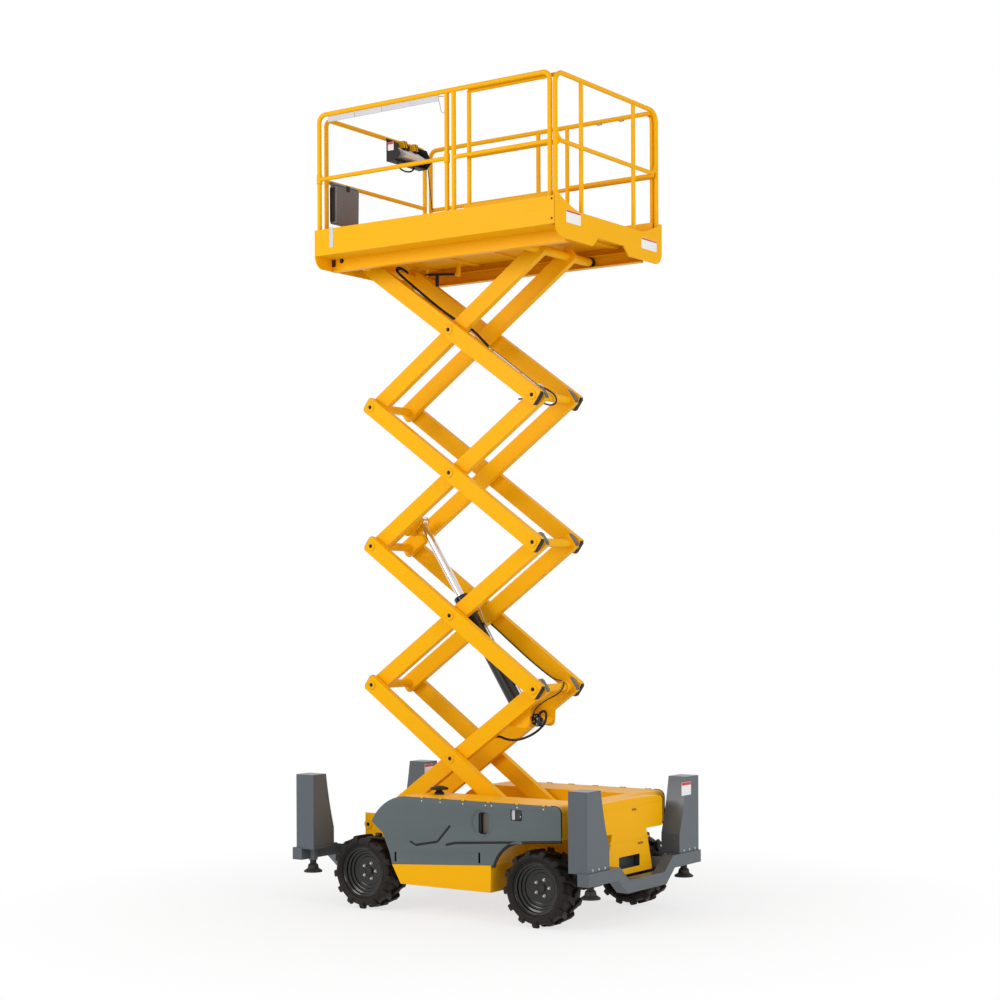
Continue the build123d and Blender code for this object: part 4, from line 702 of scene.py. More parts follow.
def plate_curve(name, loops, thick, edge, side, back):
    """A plate with holes and rounded edges, standing at back and thick outwards on that side."""
    curve = bpy.data.curves.new(name, "CURVE")
    curve.dimensions = "2D"
    curve.fill_mode = "BOTH"
    curve.extrude = thick / 2 - edge
    curve.bevel_depth = edge
    curve.bevel_resolution = 2
    curve.offset = -edge
    for number, loop in enumerate(loops):
        area = sum(x0 * z1 - x1 * z0 for (x0, z0), (x1, z1) in zip(loop, loop[1:] + loop[:1]))
        if (area > 0) != (number == 0):      # the outline runs one way round and its holes the other
            loop = loop[::-1]
        spline = curve.splines.new("POLY")
        spline.points.add(len(loop) - 1)
        for point, (x, z) in zip(spline.points, loop):
            point.co = (x, z, 0, 1)
        spline.use_cyclic_u = True
    piece = baked(linked(name + "_outline", curve), name)
    stand = Matrix(((1, 0, 0, 0), (0, 0, -1, side * (back + thick / 2)), (0, 1, 0, 0), (0, 0, 0, 1)))
    piece.data.transform(stand)
    return piece


def joined(name, parts):
    """Several objects as one mesh object."""
    mesh = bmesh.new()
    for part in parts:
        mesh.from_mesh(part.data)
        bpy.data.objects.remove(part)
    return settled(name, mesh)


GRIP_AT, GRIP_R = (0.475, 0.862), 0.120
# centre x, z, width, height and corner radius of the holes: grip, switch window, two lift slots
COVER_HOLES = ((0.481, 0.858, 0.096, 0.190, 0.030), (0.830, 0.948, 0.118, 0.094, 0.010),
               (-0.476, 0.500, 0.022, 0.088, 0.009), (0.441, 0.556, 0.022, 0.094, 0.009))
GRIP_HOLE, WINDOW = COVER_HOLES[:2]
PRESSED_LINES = (((-0.305, 0.646), (-0.248, 0.621), (-0.009, 0.666), (0.124, 0.809)),
                 ((0.089, 0.645), (0.179, 0.668), (0.660, 0.704), (0.880, 0.716)))
LINE_WIDTH = 0.021
RAISED_LINE = ((-0.215, 0.802), (-0.05, 0.815), (0.11, 0.826))
SKIN, SKIN_EDGE = 0.006, 0.004   # the outer layer, which the lines and the grip's ring are pressed into
SKIN_BACK = COVER_Y - SKIN
SHADE_SINK = 0.0004                   # how far a black strip of painted shade in a pressed line, or a rim, goes into what it lies on
HINGE_X = (-0.178, 0.027, 0.272, 0.540, 0.840, 1.110)
HINGE_OUT, HINGE_LEN = 0.0225, 0.0146       # of a knuckle from the hinge's middle, and its length
SCREW_X = (-0.178, 0.025, 0.270, 0.510, 0.574, 0.841, 1.110)
SCREW_Z = COVER_TOP - 0.030
# the grip pocket's brown-grey is painted shade for the recess's inside
grip_pocket_shade_paint = finish("grip_painted_shade", (0.125, 0.100, 0.072), 0.4, 0.55, grain=300, bump=0.05, dust=0.1, shine=0.3)
outline = cover_outline()
holes = [rounded_slot((x, z), width, tall, corner) for x, z, width, tall, corner in COVER_HOLES]
# a black tube follows the wheel arch inside the cover's edge as painted shadow between the cover's flange and the arch,
# and another round the nose is painted shade in the gap between cover and cabinet
arch_line = [(wheel_front.x - 0.454, 0.508), ARCH[0], *arc_through(*ARCH, 8),
             (wheel_front.x + 0.255, wheel_front.z + 0.427)]
nose_line = [(1.180, COVER_TOP), (1.225, COVER_TOP),
             *arc_through((1.225, COVER_TOP), (1.2674, 1.0274), (COVER_NOSE, COVER_TOP - NOSE_R), 5),
             (COVER_NOSE, wheel_front.z + 0.455)]
for hand, side in (("near", -1), ("far", 1)):
    body = f"side_cover_{hand}"
    skin_holes = [circle_points(GRIP_AT, GRIP_R)] + holes[1:] + [line_loop(line, LINE_WIDTH) for line in PRESSED_LINES]
    ring = [circle_points(GRIP_AT, GRIP_R - 0.0005), circle_points(GRIP_AT, GRIP_R - 0.014)]
    grip_rim = [rounded_slot(GRIP_HOLE[:2], GRIP_HOLE[2] + 0.016, GRIP_HOLE[3] + 0.016, 0.036), holes[0]]
    window_rim = [rounded_slot(WINDOW[:2], WINDOW[2] + 0.016, WINDOW[3] + 0.016, 0.016), holes[1]]
    # each layer's loops, thickness, edge radius and back face
    layers = (([outline] + holes, SKIN_BACK - COVER_BACK, 0.0015, COVER_BACK),
              ([outline] + skin_holes, SKIN, SKIN_EDGE / 2, SKIN_BACK),
              (ring, 0.006, 0.0028, SKIN_BACK - 0.0005),
              (grip_rim, 0.003, 0.0012, SKIN_BACK - 0.0005),
              (window_rim, 0.004, 0.0012, COVER_Y - 0.0042),
              ([line_loop(RAISED_LINE, 0.007)], 0.002, 0.0009, COVER_Y - 0.0022))
    shell = joined(f"cover_{hand}", [plate_curve("cover_layer", loops, thick, edge, side, back)
                                     for loops, thick, edge, back in layers])
    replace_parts(keep(shell, body, grey_cover), body)
    # the pressed lines' bottoms are filled with black strips, painted shade for the grooves
    groove_shade = [plate_curve("line_painted_shade", [line_loop(line, LINE_WIDTH - 0.001)], 0.0012, SHADE_SINK, side, SKIN_BACK - SHADE_SINK)
             for line in PRESSED_LINES]
    keep(joined(f"cover_line_shade_{hand}", groove_shade), body, black_rubber_and_shade)
    # black tubes of painted shadow along the arch and round the nose
    tube_along(f"arch_seal_{hand}", [(x + 0.006, side * (COVER_Y - 0.012), z - 0.010) for x, z in arch_line], 0.0125,
               body, black_rubber_and_shade, smooth=False)
    tube_along(f"nose_seal_{hand}", [(x - 0.001, side * (COVER_Y - 0.009), z - 0.001) for x, z in nose_line], 0.0062,
               body, black_rubber_and_shade, smooth=False)
    knuckles = bmesh.new()
    for hinge_x in HINGE_X:
        for out in (-HINGE_OUT, HINGE_OUT):
            band(knuckles, (hinge_x + out, side * COVER_Y, COVER_TOP), ALONG, 0.0033, 0.0026, HINGE_LEN, 28)
    keep(settled(f"cover_hinges_{hand}", knuckles), body, grey_cover)
    bolts(f"cover_screws_{hand}", [((x, side * COVER_Y, SCREW_Z), (0, side, 0)) for x in SCREW_X],
          body, zinc, head=0.0045, tall=0.0015, washer=0.0065, sides=12)
    # the grip's pocket, a deep cup: its back and far wall are painted brown-grey and its near wall and edges black, as
    # painted shade in the recess
    grip_x, grip_z, grip_wide, grip_tall = GRIP_HOLE[:4]
    boxes(f"grip_pocket_{hand}", body, "grey_cover", grip_pocket_shade_paint,
          ((grip_x, side * 0.828, grip_z), (grip_wide + 0.016, grip_tall + 0.016, 0.006), 0.002),
          ((grip_x + 0.049, side * 0.843, grip_z), (0.010, grip_tall, 0.026), 0.002))
    boxes(f"grip_shadow_walls_{hand}", body, "black_plastic", black_rubber_and_shade,
          ((grip_x - 0.041, side * 0.842, grip_z), (0.028, grip_tall + 0.006, 0.026), 0.003),
          *(((grip_x, side * 0.842, grip_z + up), (grip_wide, 0.010, 0.026), 0.003) for up in (-0.094, 0.094)))

# the emergency switch stands on the chassis behind the window, beside a pale sign
switch_pale = finish("switch_sign", (0.62, 0.63, 0.62), 0.3, 0.42, grain=500, bump=0.03, dust=0.1, edge=0)
switch_black = finish("switch_knob", (0.020, 0.020, 0.022), 0.22, 0.34, grain=500, bump=0.03, dust=0.1, edge=0)
window_x, window_z = WINDOW[:2]
for hand, side in (("near", -1), ("far", 1)):
    switch = bmesh.new()
    slab(switch, (window_x, side * 0.846, window_z), (0.150, 0.118, 0.010), 0.002)
    for radius, out in ((0.018, 0.855), (0.024, 0.861)):
        disc(switch, (window_x + 0.028, side * out, window_z - 0.008), ACROSS, radius, 0.008, 28)
    boxes(f"switch_sign_{hand}", "chassis", "pale_plastic", switch_pale,
          ((window_x - 0.042, side * 0.8515, window_z), (0.034, 0.086, 0.003), 0.001),
          ((window_x + 0.042, side * 0.8655, window_z - 0.010), (0.010, 0.010, 0.003), 0.001))
    keep(settled(f"switch_{hand}", switch), "chassis", switch_black)

# ------------------------------------------------------------------ end hood
# A pressed steel hood closes the steered end. It has two quarter-turn latches, a seam across
# the front and a step pocket, and lifts off in one piece.
hood_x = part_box("end_hood")[1].x
latches = bmesh.new()
for y, z, wide in ((0.078, 0.948, 0.070), (0.185, 0.645, 0.088)):
    slab(latches, (hood_x + 0.002, y, z), (wide, 0.018, 0.004), 0.002, ACROSS)
    slab(latches, (hood_x + 0.005, y + wide * 0.3, z), (0.016, 0.012, 0.006), 0.002, ACROSS)
latch_bronze = finish("latch_bronze", (0.30, 0.11, 0.012), 0.35, 0.5, grain=400, bump=0.05, dust=0.1, edge=0,
                      shine=0.3)
keep(settled("hood_latches", latches), "chassis", latch_bronze)
step_plate = finish("step_plate", (0.030, 0.042, 0.050), 0.34, 0.5, grain=300, bump=0.06, dust=0.1, shine=0.3)
STEP_Z, STEP_W, STEP_T = 0.500, 0.372, 0.004
step_back = ((hood_x - 0.070, 0, STEP_Z), (STEP_W, 0.128, STEP_T), 0.001, ACROSS)
step_walls = [((hood_x - 0.038, 0, STEP_Z + up), (STEP_W, 0.066, STEP_T), 0.001, ACROSS, ALONG)
              for up in (-0.058, 0.058)]
step_sides = [((hood_x - 0.038, side * (STEP_W / 2 - 0.002), STEP_Z), (0.066, 0.112, STEP_T), 0.001)
              for side in (-1, 1)]
step_bars = [((hood_x - 0.030, y, STEP_Z - 0.0545), (0.038, 0.010, STEP_T), 0.001, ACROSS, ALONG)
             for y in (-0.13, -0.065, 0, 0.065, 0.13)]
boxes("step_pocket", "chassis", "grey_paint", step_plate, step_back, *step_walls, *step_sides, *step_bars)
boxes("hood_seams", "chassis", "yellow_paint", yellow, *(
    ((hood_x - 0.0008, 0, z), (wide, 0.014, 0.0040), 0.0018, ACROSS) for z, wide in ((0.690, 0.660), (0.985, 1.090))))

# ------------------------------------------------------------------ wheels
# Foam-filled traction tyres with a staggered row of deep lugs each side, on deep-dish pressed
# steel rims with five nuts.
tyre_rubber = finish("tyre_rubber", (0.008, 0.0072, 0.0068), 0.40, 0.62, grain=160, bump=0.25, dust=0.34, reach=1.0,
                     patches=0.12, edge=0, dust_colour=(0.065, 0.046, 0.032, 1), shine=0.18)
LUG_COUNT = 13                   # in each of a tyre's two rows
# a lug's plan: along the tread, and out from the tyre's middle plane
LUG_PLAN = ((-0.030, 0.1485), (0.028, 0.1485), (0.034, 0.092), (0.098, -0.010), (0.062, -0.016), (0.002, 0.060),
            (-0.022, 0.092))
# out from the middle plane and radius, from the bead to the crown
CASING = ((0.095, 0.2103), (0.1045, 0.2323), (0.117, 0.233), (0.124, 0.2345), (0.130, 0.240), (0.1375, 0.250),
          (0.1392, 0.2535), (0.1418, 0.2545), (0.1420, 0.2585), (0.1400, 0.2600), (0.1412, 0.266), (0.1410, 0.274),
          (0.1385, 0.283), (0.1330, 0.292), (0.124, 0.299), (0.112, 0.3035), (0.080, 0.306), (0.0, 0.3065))
LUG_TOP = ((0.0, 0.3329), (0.118, 0.3322), (0.128, 0.328), (0.141, 0.309), (0.1465, 0.290), (0.149, 0.2680),
           (0.150, 0.262))
LUG_FOOT = ((0.0, 0.3065), (0.080, 0.306), (0.112, 0.3035), (0.124, 0.299), (0.133, 0.292), (0.1385, 0.283),
            (0.141, 0.270), (0.150, 0.262))
LUG_ROOT = 0.006                 # how deep a lug's foot goes into the casing
CHAMFER_FROM, CHAMFER = 0.82, 0.006         # share of a lug's height where its chamfer starts, and its width
LUG_BEND_R = 0.320               # radius at which a lug's plan has its true length
SHOULDER, SHOULDER_W, FLANK_IN = 0.128, 0.022, 0.010


def radius_at(profile, out):
    """The radius of a profile at that distance out."""
    out = abs(out)
    for (out_a, radius_a), (out_b, radius_b) in zip(profile, profile[1:]):
        low, high = min(out_a, out_b), max(out_a, out_b)
        if low <= out <= high and high > low:
            return radius_a + (radius_b - radius_a) * (out - out_a) / (out_b - out_a)
    return profile[-1][1] if out > profile[-1][0] else profile[0][1]


def one_lug(mesh, row, turn):
    """A lug with chamfered top edges, wrapped round the tyre and over its shoulder."""
    part = bmesh.new()
    loop = [part.verts.new((along, row * out, 0)) for along, out in LUG_PLAN]
    face = part.faces.new(loop if row > 0 else loop[::-1])
    lifted = bmesh.ops.extrude_face_region(part, geom=[face])
    top = [item for item in lifted["geom"] if isinstance(item, bmesh.types.BMFace)]
    for vert in (vert for item in top for vert in item.verts):
        vert.co.z = CHAMFER_FROM
    bmesh.ops.inset_region(part, faces=top, thickness=CHAMFER, use_even_offset=True)
    for vert in (vert for item in top for vert in item.verts):
        vert.co.z = 1.0
    # cut across and along, so that it can bend round the tyre and over its shoulder
    cuts = [((along, 0, 0), ALONG) for along in (-0.015, 0.0, 0.016, 0.032, 0.048, 0.064, 0.080)]
    cuts += [((0, row * out, 0), ACROSS) for out in (0.118, SHOULDER, 0.1335, 0.141)]
    for place, facing in cuts:
        bmesh.ops.bisect_plane(part, geom=part.verts[:] + part.edges[:] + part.faces[:], plane_co=place,
                               plane_no=facing)
    for vert in part.verts:
        along, out, share = vert.co
        past_shoulder = max(0.0, (abs(out) - SHOULDER) / SHOULDER_W)
        low = radius_at(LUG_FOOT, out) - LUG_ROOT
        high = radius_at(LUG_TOP, out)
        radius = low + (high - low) * share
        out = out - math.copysign(FLANK_IN * past_shoulder * (1 - share), out)
        angle = along / LUG_BEND_R + turn
        vert.co = (radius * math.sin(angle), out, radius * math.cos(angle))
    data = bpy.data.meshes.new("lug")
    part.to_mesh(data)
    part.free()
    mesh.from_mesh(data)
    bpy.data.meshes.remove(data)


def ring_tree():
    """Geometry nodes: copies of the given mesh turned about the Y axis, evenly round the circle."""
    tree, sockets, into, out = geometry_tree("turned_ring", (("Count", "NodeSocketInt", 1),))
    points = added(tree, "GeometryNodePoints", Count=into.outputs["Count"])
    step = math_node(tree, "DIVIDE", 2 * math.pi, into.outputs["Count"])
    turn = math_node(tree, "MULTIPLY", tree.nodes.new("GeometryNodeInputIndex").outputs[0], step)
    euler = added(tree, "ShaderNodeCombineXYZ", Y=turn)
    end_with_copies(tree, into, out, points.outputs[0], into.outputs["Geometry"], euler.outputs[0])
    return tree, sockets


turned_ring, ring_sockets = ring_tree()


def lathe(mesh, profile):
    """Turns a closed loop of (out, radius) points about the Y axis."""
    steps = 96
    rings = []
    for step in range(steps):
        angle = 2 * math.pi * step / steps
        rings.append([mesh.verts.new((radius * math.sin(angle), out, radius * math.cos(angle)))
                      for out, radius in profile])
    join_rings(mesh, rings)


# the rim's section from its outer flange in to the disc and back along the barrel
RIM = ((0.1150, 0.2320), (0.1150, 0.2255), (0.1120, 0.2235), (0.1060, 0.2205), (0.1000, 0.2105), (0.0980, 0.2075),
       (0.0760, 0.2040), (0.0740, 0.2010), (0.0730, 0.1900), (0.0700, 0.1860), (0.0530, 0.1830), (0.0505, 0.1800),
       (0.0490, 0.1660), (0.0460, 0.1620), (0.0330, 0.1590), (0.0300, 0.1555), (0.0285, 0.1380), (0.0260, 0.1330),
       (0.0200, 0.1270), (0.0185, 0.1180), (0.0180, 0.1120), (0.0165, 0.0540), (0.0190, 0.0500), (0.0205, 0.0480),
       (0.0205, 0.0345), (0.0020, 0.0345), (0.0020, 0.0500), (0.0040, 0.1120), (0.0060, 0.1980), (-0.0900, 0.1980),
       (-0.1000, 0.2100), (-0.1060, 0.2190), (-0.1150, 0.2240), (-0.1150, 0.2320), (-0.1050, 0.2322), (-0.0950, 0.2102),
       (0.0950, 0.2102), (0.1050, 0.2322))
NUTS, NUT_CIRCLE, NUT_FACE = 5, 0.072, 0.0174    # how many, their radius, and their seat on the disc
FIRST_NUT = 0.3                  # turn of the first one
for end in ("front", "rear"):
    for hand, side in (("near", -1), ("far", 1)):
        body = f"wheel_{end}_{hand}"
        hub = Vector(joints[f"spin_{end}_{hand}"]["pos_m"])
        section = [(-out, radius) for out, radius in CASING] + list(CASING[-2::-1])
        casing = bmesh.new()
        lathe(casing, section)
        casing_piece = settled("casing", casing)
        pair = bmesh.new()
        one_lug(pair, 1, 0.0)
        one_lug(pair, -1, math.pi / LUG_COUNT)
        lugs = grown(settled("lug_pair", pair), "lugs", turned_ring, ring_sockets,
                     {"Count": LUG_COUNT, "Finish": tyre_rubber})
        tyre = joined(f"tyre_{end}_{hand}_tread", [casing_piece, lugs])
        if side > 0:
            tyre.data.transform(Matrix.Scale(-1, 4, (0, 1, 0)))
            tyre.data.flip_normals()
        tyre.data.transform(Matrix.Translation(hub))
        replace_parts(keep(tyre, body, tyre_rubber), f"tyre_{end}_{hand}")
        dish = bmesh.new()
        lathe(dish, [(side * out, radius) for out, radius in RIM])
        rim = settled(f"rim_{end}_{hand}_dish", dish)
        rim.data.transform(Matrix.Translation(hub))
        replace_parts(keep(rim, body, black_paint), f"rim_{end}_{hand}")
        places = []
        for nut in range(NUTS):
            angle = 2 * math.pi * nut / NUTS + FIRST_NUT
            out = Vector((NUT_CIRCLE * math.sin(angle), side * NUT_FACE, NUT_CIRCLE * math.cos(angle)))
            places.append((hub + out, (0, side, 0)))
        bolts(f"wheel_nuts_{end}_{hand}", places, body, zinc, head=0.0115, tall=0.012, washer=0.0135)

# ------------------------------------------------------------------ axles, knuckles and legs
# Cast axles and knuckles, the engine, the tank and the stabiliser legs are painted black-grey
# and pick up road dirt. Small turned parts are bare steel. The slide blocks are plastic,
# coloured near black as painted shade for the dark inside of their channels.
for slot, name, colour in (("axle_iron", "axle_casting", (0.018, 0.017, 0.017)),
                           ("engine_iron", "engine_casting", (0.020, 0.020, 0.021)),
                           ("tank_steel", "tank_enamel", (0.018, 0.019, 0.020)),
                           ("leg_steel", "leg_enamel", (0.014, 0.015, 0.016))):
    dress(slot, finish(name, colour, 0.42, 0.62, grain=170, bump=0.18, dust=0.3, reach=0.8, patches=0.08, shine=0.3,
                       dust_colour=(0.13, 0.10, 0.07, 1)))
dress("roller_steel", finish("turned_steel", (0.5, 0.5, 0.51), 0.24, 0.4, grain=500, bump=0.03, metallic=0.9))
# the slide blocks' near black is painted shade for the inside of their channels
dress("slider_plastic", finish("slider_plastic", (0.020, 0.018, 0.017), 0.4, 0.55, grain=350, bump=0.04, shine=0.3))

# ------------------------------------------------------------------ stabiliser covers and bumpers
# Folded steel covers stand on the bumper beams over the legs, bolted down through a flange at
# the foot, and are sprayed satin grey. Blank notice plates are riveted to the far ones.
grey_paint = finish("grey_enamel", (0.088, 0.106, 0.122), 0.26, 0.42, grain=280, bump=0.05, dust=0.05, reach=0.6,
                    patches=0.03, coat=0.1, shine=0.35)
dress("grey_paint", grey_paint)
plate_white = finish("plate_white", (0.86, 0.86, 0.85), 0.3, 0.42, grain=600, bump=0.01, dust=0.08, patches=0.04,
                     edge=0)
plate_red = finish("plate_red", (0.62, 0.018, 0.030), 0.3, 0.42, grain=600, bump=0.01, dust=0.08, patches=0.04,
                   edge=0)
PLATE_T = 0.0016


def notice(name, centre, x_axis, width, height, body, strip):
    """An upright blank plate of that width along x_axis, its top share of strip red."""
    place = frame_at(centre, x_axis, UP)
    white = bmesh.new()
    block(white, place @ Matrix.Translation((0, 0, PLATE_T / 2)), (width, height, PLATE_T), 0.0004)
    keep(settled(name, white), body, plate_white)
    red = bmesh.new()
    block(red, place @ Matrix.Translation((0, height * (0.5 - strip / 2) - 0.002, PLATE_T)),
          (width - 0.004, height * strip, 0.0012), 0.0003)
    keep(settled(name + "_strip", red), body, plate_red)


flange_bolts = []
flanges = bmesh.new()
for end, way in (("front", 1), ("rear", -1)):
    for hand in ("near", "far"):
        low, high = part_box(f"leg_cover_{end}_{hand}")
        outer_x, inner_x = (high.x, low.x) if way > 0 else (low.x, high.x)
        wide = high.y - low.y
        # a flange that turns out from the cover's face over the beam
        slab(flanges, (inner_x, (low.y + high.y) / 2, low.z + 0.003), (0.020, wide - 0.030, 0.006), 0.001,
             ALONG, ACROSS)
        for share in (0.22, 0.5, 0.78):
            flange_bolts.append(((outer_x, low.y + wide * share, low.z + 0.020), (way, 0, 0)))
keep(settled("cover_flanges", flanges), "chassis", grey_paint)
bolts("flange_bolts", flange_bolts, "chassis", zinc, head=0.008, tall=0.006, washer=0.012)
# each far cover's plate: its centre in from the near edge and down from the top, width and height
for end, from_edge, from_top, wide, tall in (("front", 0.125, 0.105, 0.170, 0.118),
                                             ("rear", 0.150, 0.080, 0.130, 0.112)):
    low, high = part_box(f"leg_cover_{end}_far")
    notice(f"notice_{end}_far", (high.x, low.y + from_edge, high.z - from_top), ACROSS, wide, tall, "chassis", 0.22)

# ------------------------------------------------------------------ platform floor
# The floor is raised-pattern steel sheet: short lozenges in a basket weave. The roll-out deck
# carries the same sheet.


def lozenge_tree():
    """Geometry nodes: a lozenge bar on each point of the given mesh, turned by its 'turn' attribute."""
    tree, sockets, into, out = geometry_tree("lozenges", (
        ("Length", "NodeSocketFloat", 0.026), ("Width", "NodeSocketFloat", 0.008),
        ("Height", "NodeSocketFloat", 0.0016)))
    given = into.outputs
    bar = added(tree, "GeometryNodeMeshCone", Vertices=6, Radius_Bottom=0.5, Radius_Top=0.28, Depth=1.0)
    size = added(tree, "ShaderNodeCombineXYZ", X=given["Length"], Y=given["Width"], Z=given["Height"])
    shaped = added(tree, "GeometryNodeTransform", Geometry=bar.outputs["Mesh"], Scale=size.outputs[0])
    euler = added(tree, "ShaderNodeCombineXYZ", Z=attribute(tree, "turn", "FLOAT"))
    end_with_copies(tree, into, out, given["Geometry"], shaped.outputs[0], euler.outputs[0])
    return tree, sockets


lozenges, lozenge_sockets = lozenge_tree()
deck_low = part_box("platform_deck")[0]
roll_low, roll_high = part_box("roll_out_deck")
WALK_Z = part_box("guardrail_near")[0].z - 0.0003         # the rails' posts stand on the floor
ROLL_Z = WALK_Z + 0.0163         # the roll-out deck lies on the fixed one
LOZENGE_PITCH = 0.042


def tread(name, x0, x1, half_y, z, body):
    """A sheet of lozenges between x0 and x1."""
    points, turns = [], []
    across, along = int(2 * half_y / LOZENGE_PITCH), int((x1 - x0) / LOZENGE_PITCH)
    for row in range(along):
        for column in range(across):
            points.append((x0 + (row + 0.5) * LOZENGE_PITCH, -half_y + (column + 0.5) * LOZENGE_PITCH, z))
            turns.append(math.radians(45 if (row + column) % 2 else -45))
    mesh = bpy.data.meshes.new(name)
    mesh.from_pydata(points, [], [])
    mesh.attributes.new("turn", "FLOAT", "POINT").data.foreach_set("value", turns)
    sheet = grown(linked(name + "_points", mesh), name, lozenges, lozenge_sockets, {"Finish": yellow})
    keep(sheet, body)


tread("deck_tread", deck_low.x + 0.06, roll_low.x - 0.02, 0.80, WALK_Z, "platform")
tread("roll_out_tread", roll_low.x + 0.02, roll_high.x - 0.06, 0.77, ROLL_Z, "roll_out")

# ------------------------------------------------------------------ toe boards and end sheets
# Folded sheet stands round the floor. Screws hold its corners, the roll-out deck's end sheet
# carries two blank notice plates, and a channel for the slide blocks runs under each side.
TOE_FACE_Y, CORNER_X = 0.882, 1.225         # outer faces of the side toe boards, and their front screws
toe_bolts = [((CORNER_X, side * TOE_FACE_Y, WALK_Z + up), (0, side, 0)) for up in (0.130, -0.035) for side in (-1, 1)]
bolts("toe_board_bolts", toe_bolts, "platform", dark_steel, head=0.006, tall=0.005, washer=0.009)
notice("notice_end_left", (roll_high.x, -0.612, 6.026), ACROSS, 0.225, 0.106, "roll_out", 0.14)
notice("notice_end_right", (roll_high.x, 0.650, 5.988), ACROSS, 0.270, 0.096, "roll_out", 0.14)
CHANNEL_Y = 0.650                # outer faces of the channels under the floor
channel_bolts = []
mouths = bmesh.new()
for side in (-1, 1):
    channel_bolts.append(((deck_low.x + 0.128, side * (CHANNEL_Y - 0.002), 5.922), (0, side, 0)))
    slab(mouths, (deck_low.x + 0.030, side * CHANNEL_Y, 5.925), (0.050, 0.100, 0.003), 0.001)
mouth_brown = finish("channel_mouth", (0.060, 0.016, 0.006), 0.5, 0.6, grain=300, bump=0.05, dust=0.1, edge=0,
                     shine=0.2)
keep(settled("channel_mouths", mouths), "platform", mouth_brown)
bolts("channel_bolts", channel_bolts, "platform", dark_steel, head=0.016, tall=0.010, washer=0.024)

# ------------------------------------------------------------------ rail strip and collars
# A pale protective sleeve is strapped under the near top rail in lengths, with a loop of
# cable at its end, and the far top rail has two pale collars.
pale = finish("pale_sleeve", (0.60, 0.60, 0.64), 0.36, 0.52, grain=300, bump=0.08, dust=0.1, patches=0.04, shine=0.3)
dress("pale_plastic", pale)
SLEEVES, SLEEVE_GAP = 4, 0.008
strip_low, strip_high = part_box("rail_strip")
strip_mid = (strip_low + strip_high) / 2
sleeve_len = (strip_high.x - strip_low.x) / SLEEVES
sleeves = boxes("rail_sleeves", "platform", "pale_plastic", pale, *(
    ((strip_low.x + (count + 0.5) * sleeve_len, strip_mid.y, strip_mid.z),
     (sleeve_len - SLEEVE_GAP, strip_high.z - strip_low.z - 0.004, 0.0095), 0.003) for count in range(SLEEVES)))
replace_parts(sleeves, "rail_strip")
# points listed from the strip's end: along the rail, in from it and down. The loop hangs inside
# the rail, clear of the entry bar
HANG_IN = 0.036
CABLE_ROUTE = ((-0.02, 0, -0.010), (0.004, HANG_IN, -0.006), (0.034, HANG_IN, -0.014), (0.052, HANG_IN, -0.040),
               (0.046, HANG_IN, -0.120), (0.020, HANG_IN, -0.165), (-0.012, HANG_IN, -0.130),
               (-0.020, HANG_IN, -0.060), (-0.020, 0, -0.030))
strip_end = Vector((strip_high.x, strip_mid.y, strip_high.z))
tube_along("sleeve_cable", [strip_end + Vector(step) for step in CABLE_ROUTE], 0.004, "platform", pale)
RAIL_R = 0.021
rail_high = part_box("guardrail_far")[1]
collars = bmesh.new()
for x in (0.62, 0.86):
    band(collars, (x, rail_high.y - RAIL_R, rail_high.z - RAIL_R - 0.0062), ALONG, RAIL_R + 0.0002, 0.006, 0.040, 28)
keep(settled("rail_collars", collars), "platform", pale)

# ------------------------------------------------------------------ document box
# A moulded box with a sloping lid hangs on the rear middle rail. It has a black clip and edge,
# and a pale strap goes round the toe board below it.
papers_low, papers_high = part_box("document_box")
grey_plastic = finish("box_moulding", (0.165, 0.150, 0.156), 0.42, 0.58, grain=450, bump=0.1, dust=0.1,
                      patches=0.03, shine=0.3)
papers_y = (papers_low.y + papers_high.y) / 2
deep, _, tall = papers_high - papers_low
LID_H = 0.036
lid_z = papers_high.z - LID_H


def folded_prism(mesh, outline, y0, y1, bevel):
    """A prism between y0 and y1 with that outline in x and z, its edges bevelled."""
    front = [mesh.verts.new((x, y0, z)) for x, z in outline]
    back = [mesh.verts.new((x, y1, z)) for x, z in outline]
    faces = [mesh.faces.new(front), mesh.faces.new(back[::-1])]
    for index in range(len(outline)):
        following = (index + 1) % len(outline)
        faces.append(mesh.faces.new((front[following], front[index], back[index], back[following])))
    edges = list(dict.fromkeys(edge for face in faces for edge in face.edges))
    bmesh.ops.bevel(mesh, geom=edges, offset=bevel, segments=2, profile=0.6, affect="EDGES")


papers = bmesh.new()
folded_prism(papers, ((papers_low.x, papers_low.z), (papers_low.x + deep - 0.010, papers_low.z),
                      (papers_low.x + deep - 0.003, lid_z - 0.003), (papers_low.x, lid_z - 0.003)),
             papers_low.y + 0.003, papers_high.y - 0.003, 0.005)
folded_prism(papers, ((papers_low.x, lid_z), (papers_low.x + deep, lid_z), (papers_low.x + 0.020, papers_high.z),
                      (papers_low.x, papers_high.z)), papers_low.y, papers_high.y, 0.005)
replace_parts(keep(settled("papers_box", papers), "platform", grey_plastic), "document_box")
boxes("papers_clip", "platform", "black_plastic", black_rubber_and_shade,
      ((papers_low.x + deep - 0.004, papers_y, lid_z - 0.012), (0.045, 0.050, 0.010), 0.003, ACROSS),
      ((papers_low.x + deep / 2 - 0.012, papers_low.y - 0.0005, (papers_low.z + lid_z) / 2),
       (deep - 0.024, tall - 0.075, 0.004), 0.0015))
boxes("sheet_strap", "platform", "pale_plastic", pale,
      ((-1.176, -TOE_FACE_Y - 0.0018, 6.096), (0.044, 0.190, 0.0030), 0.0012))

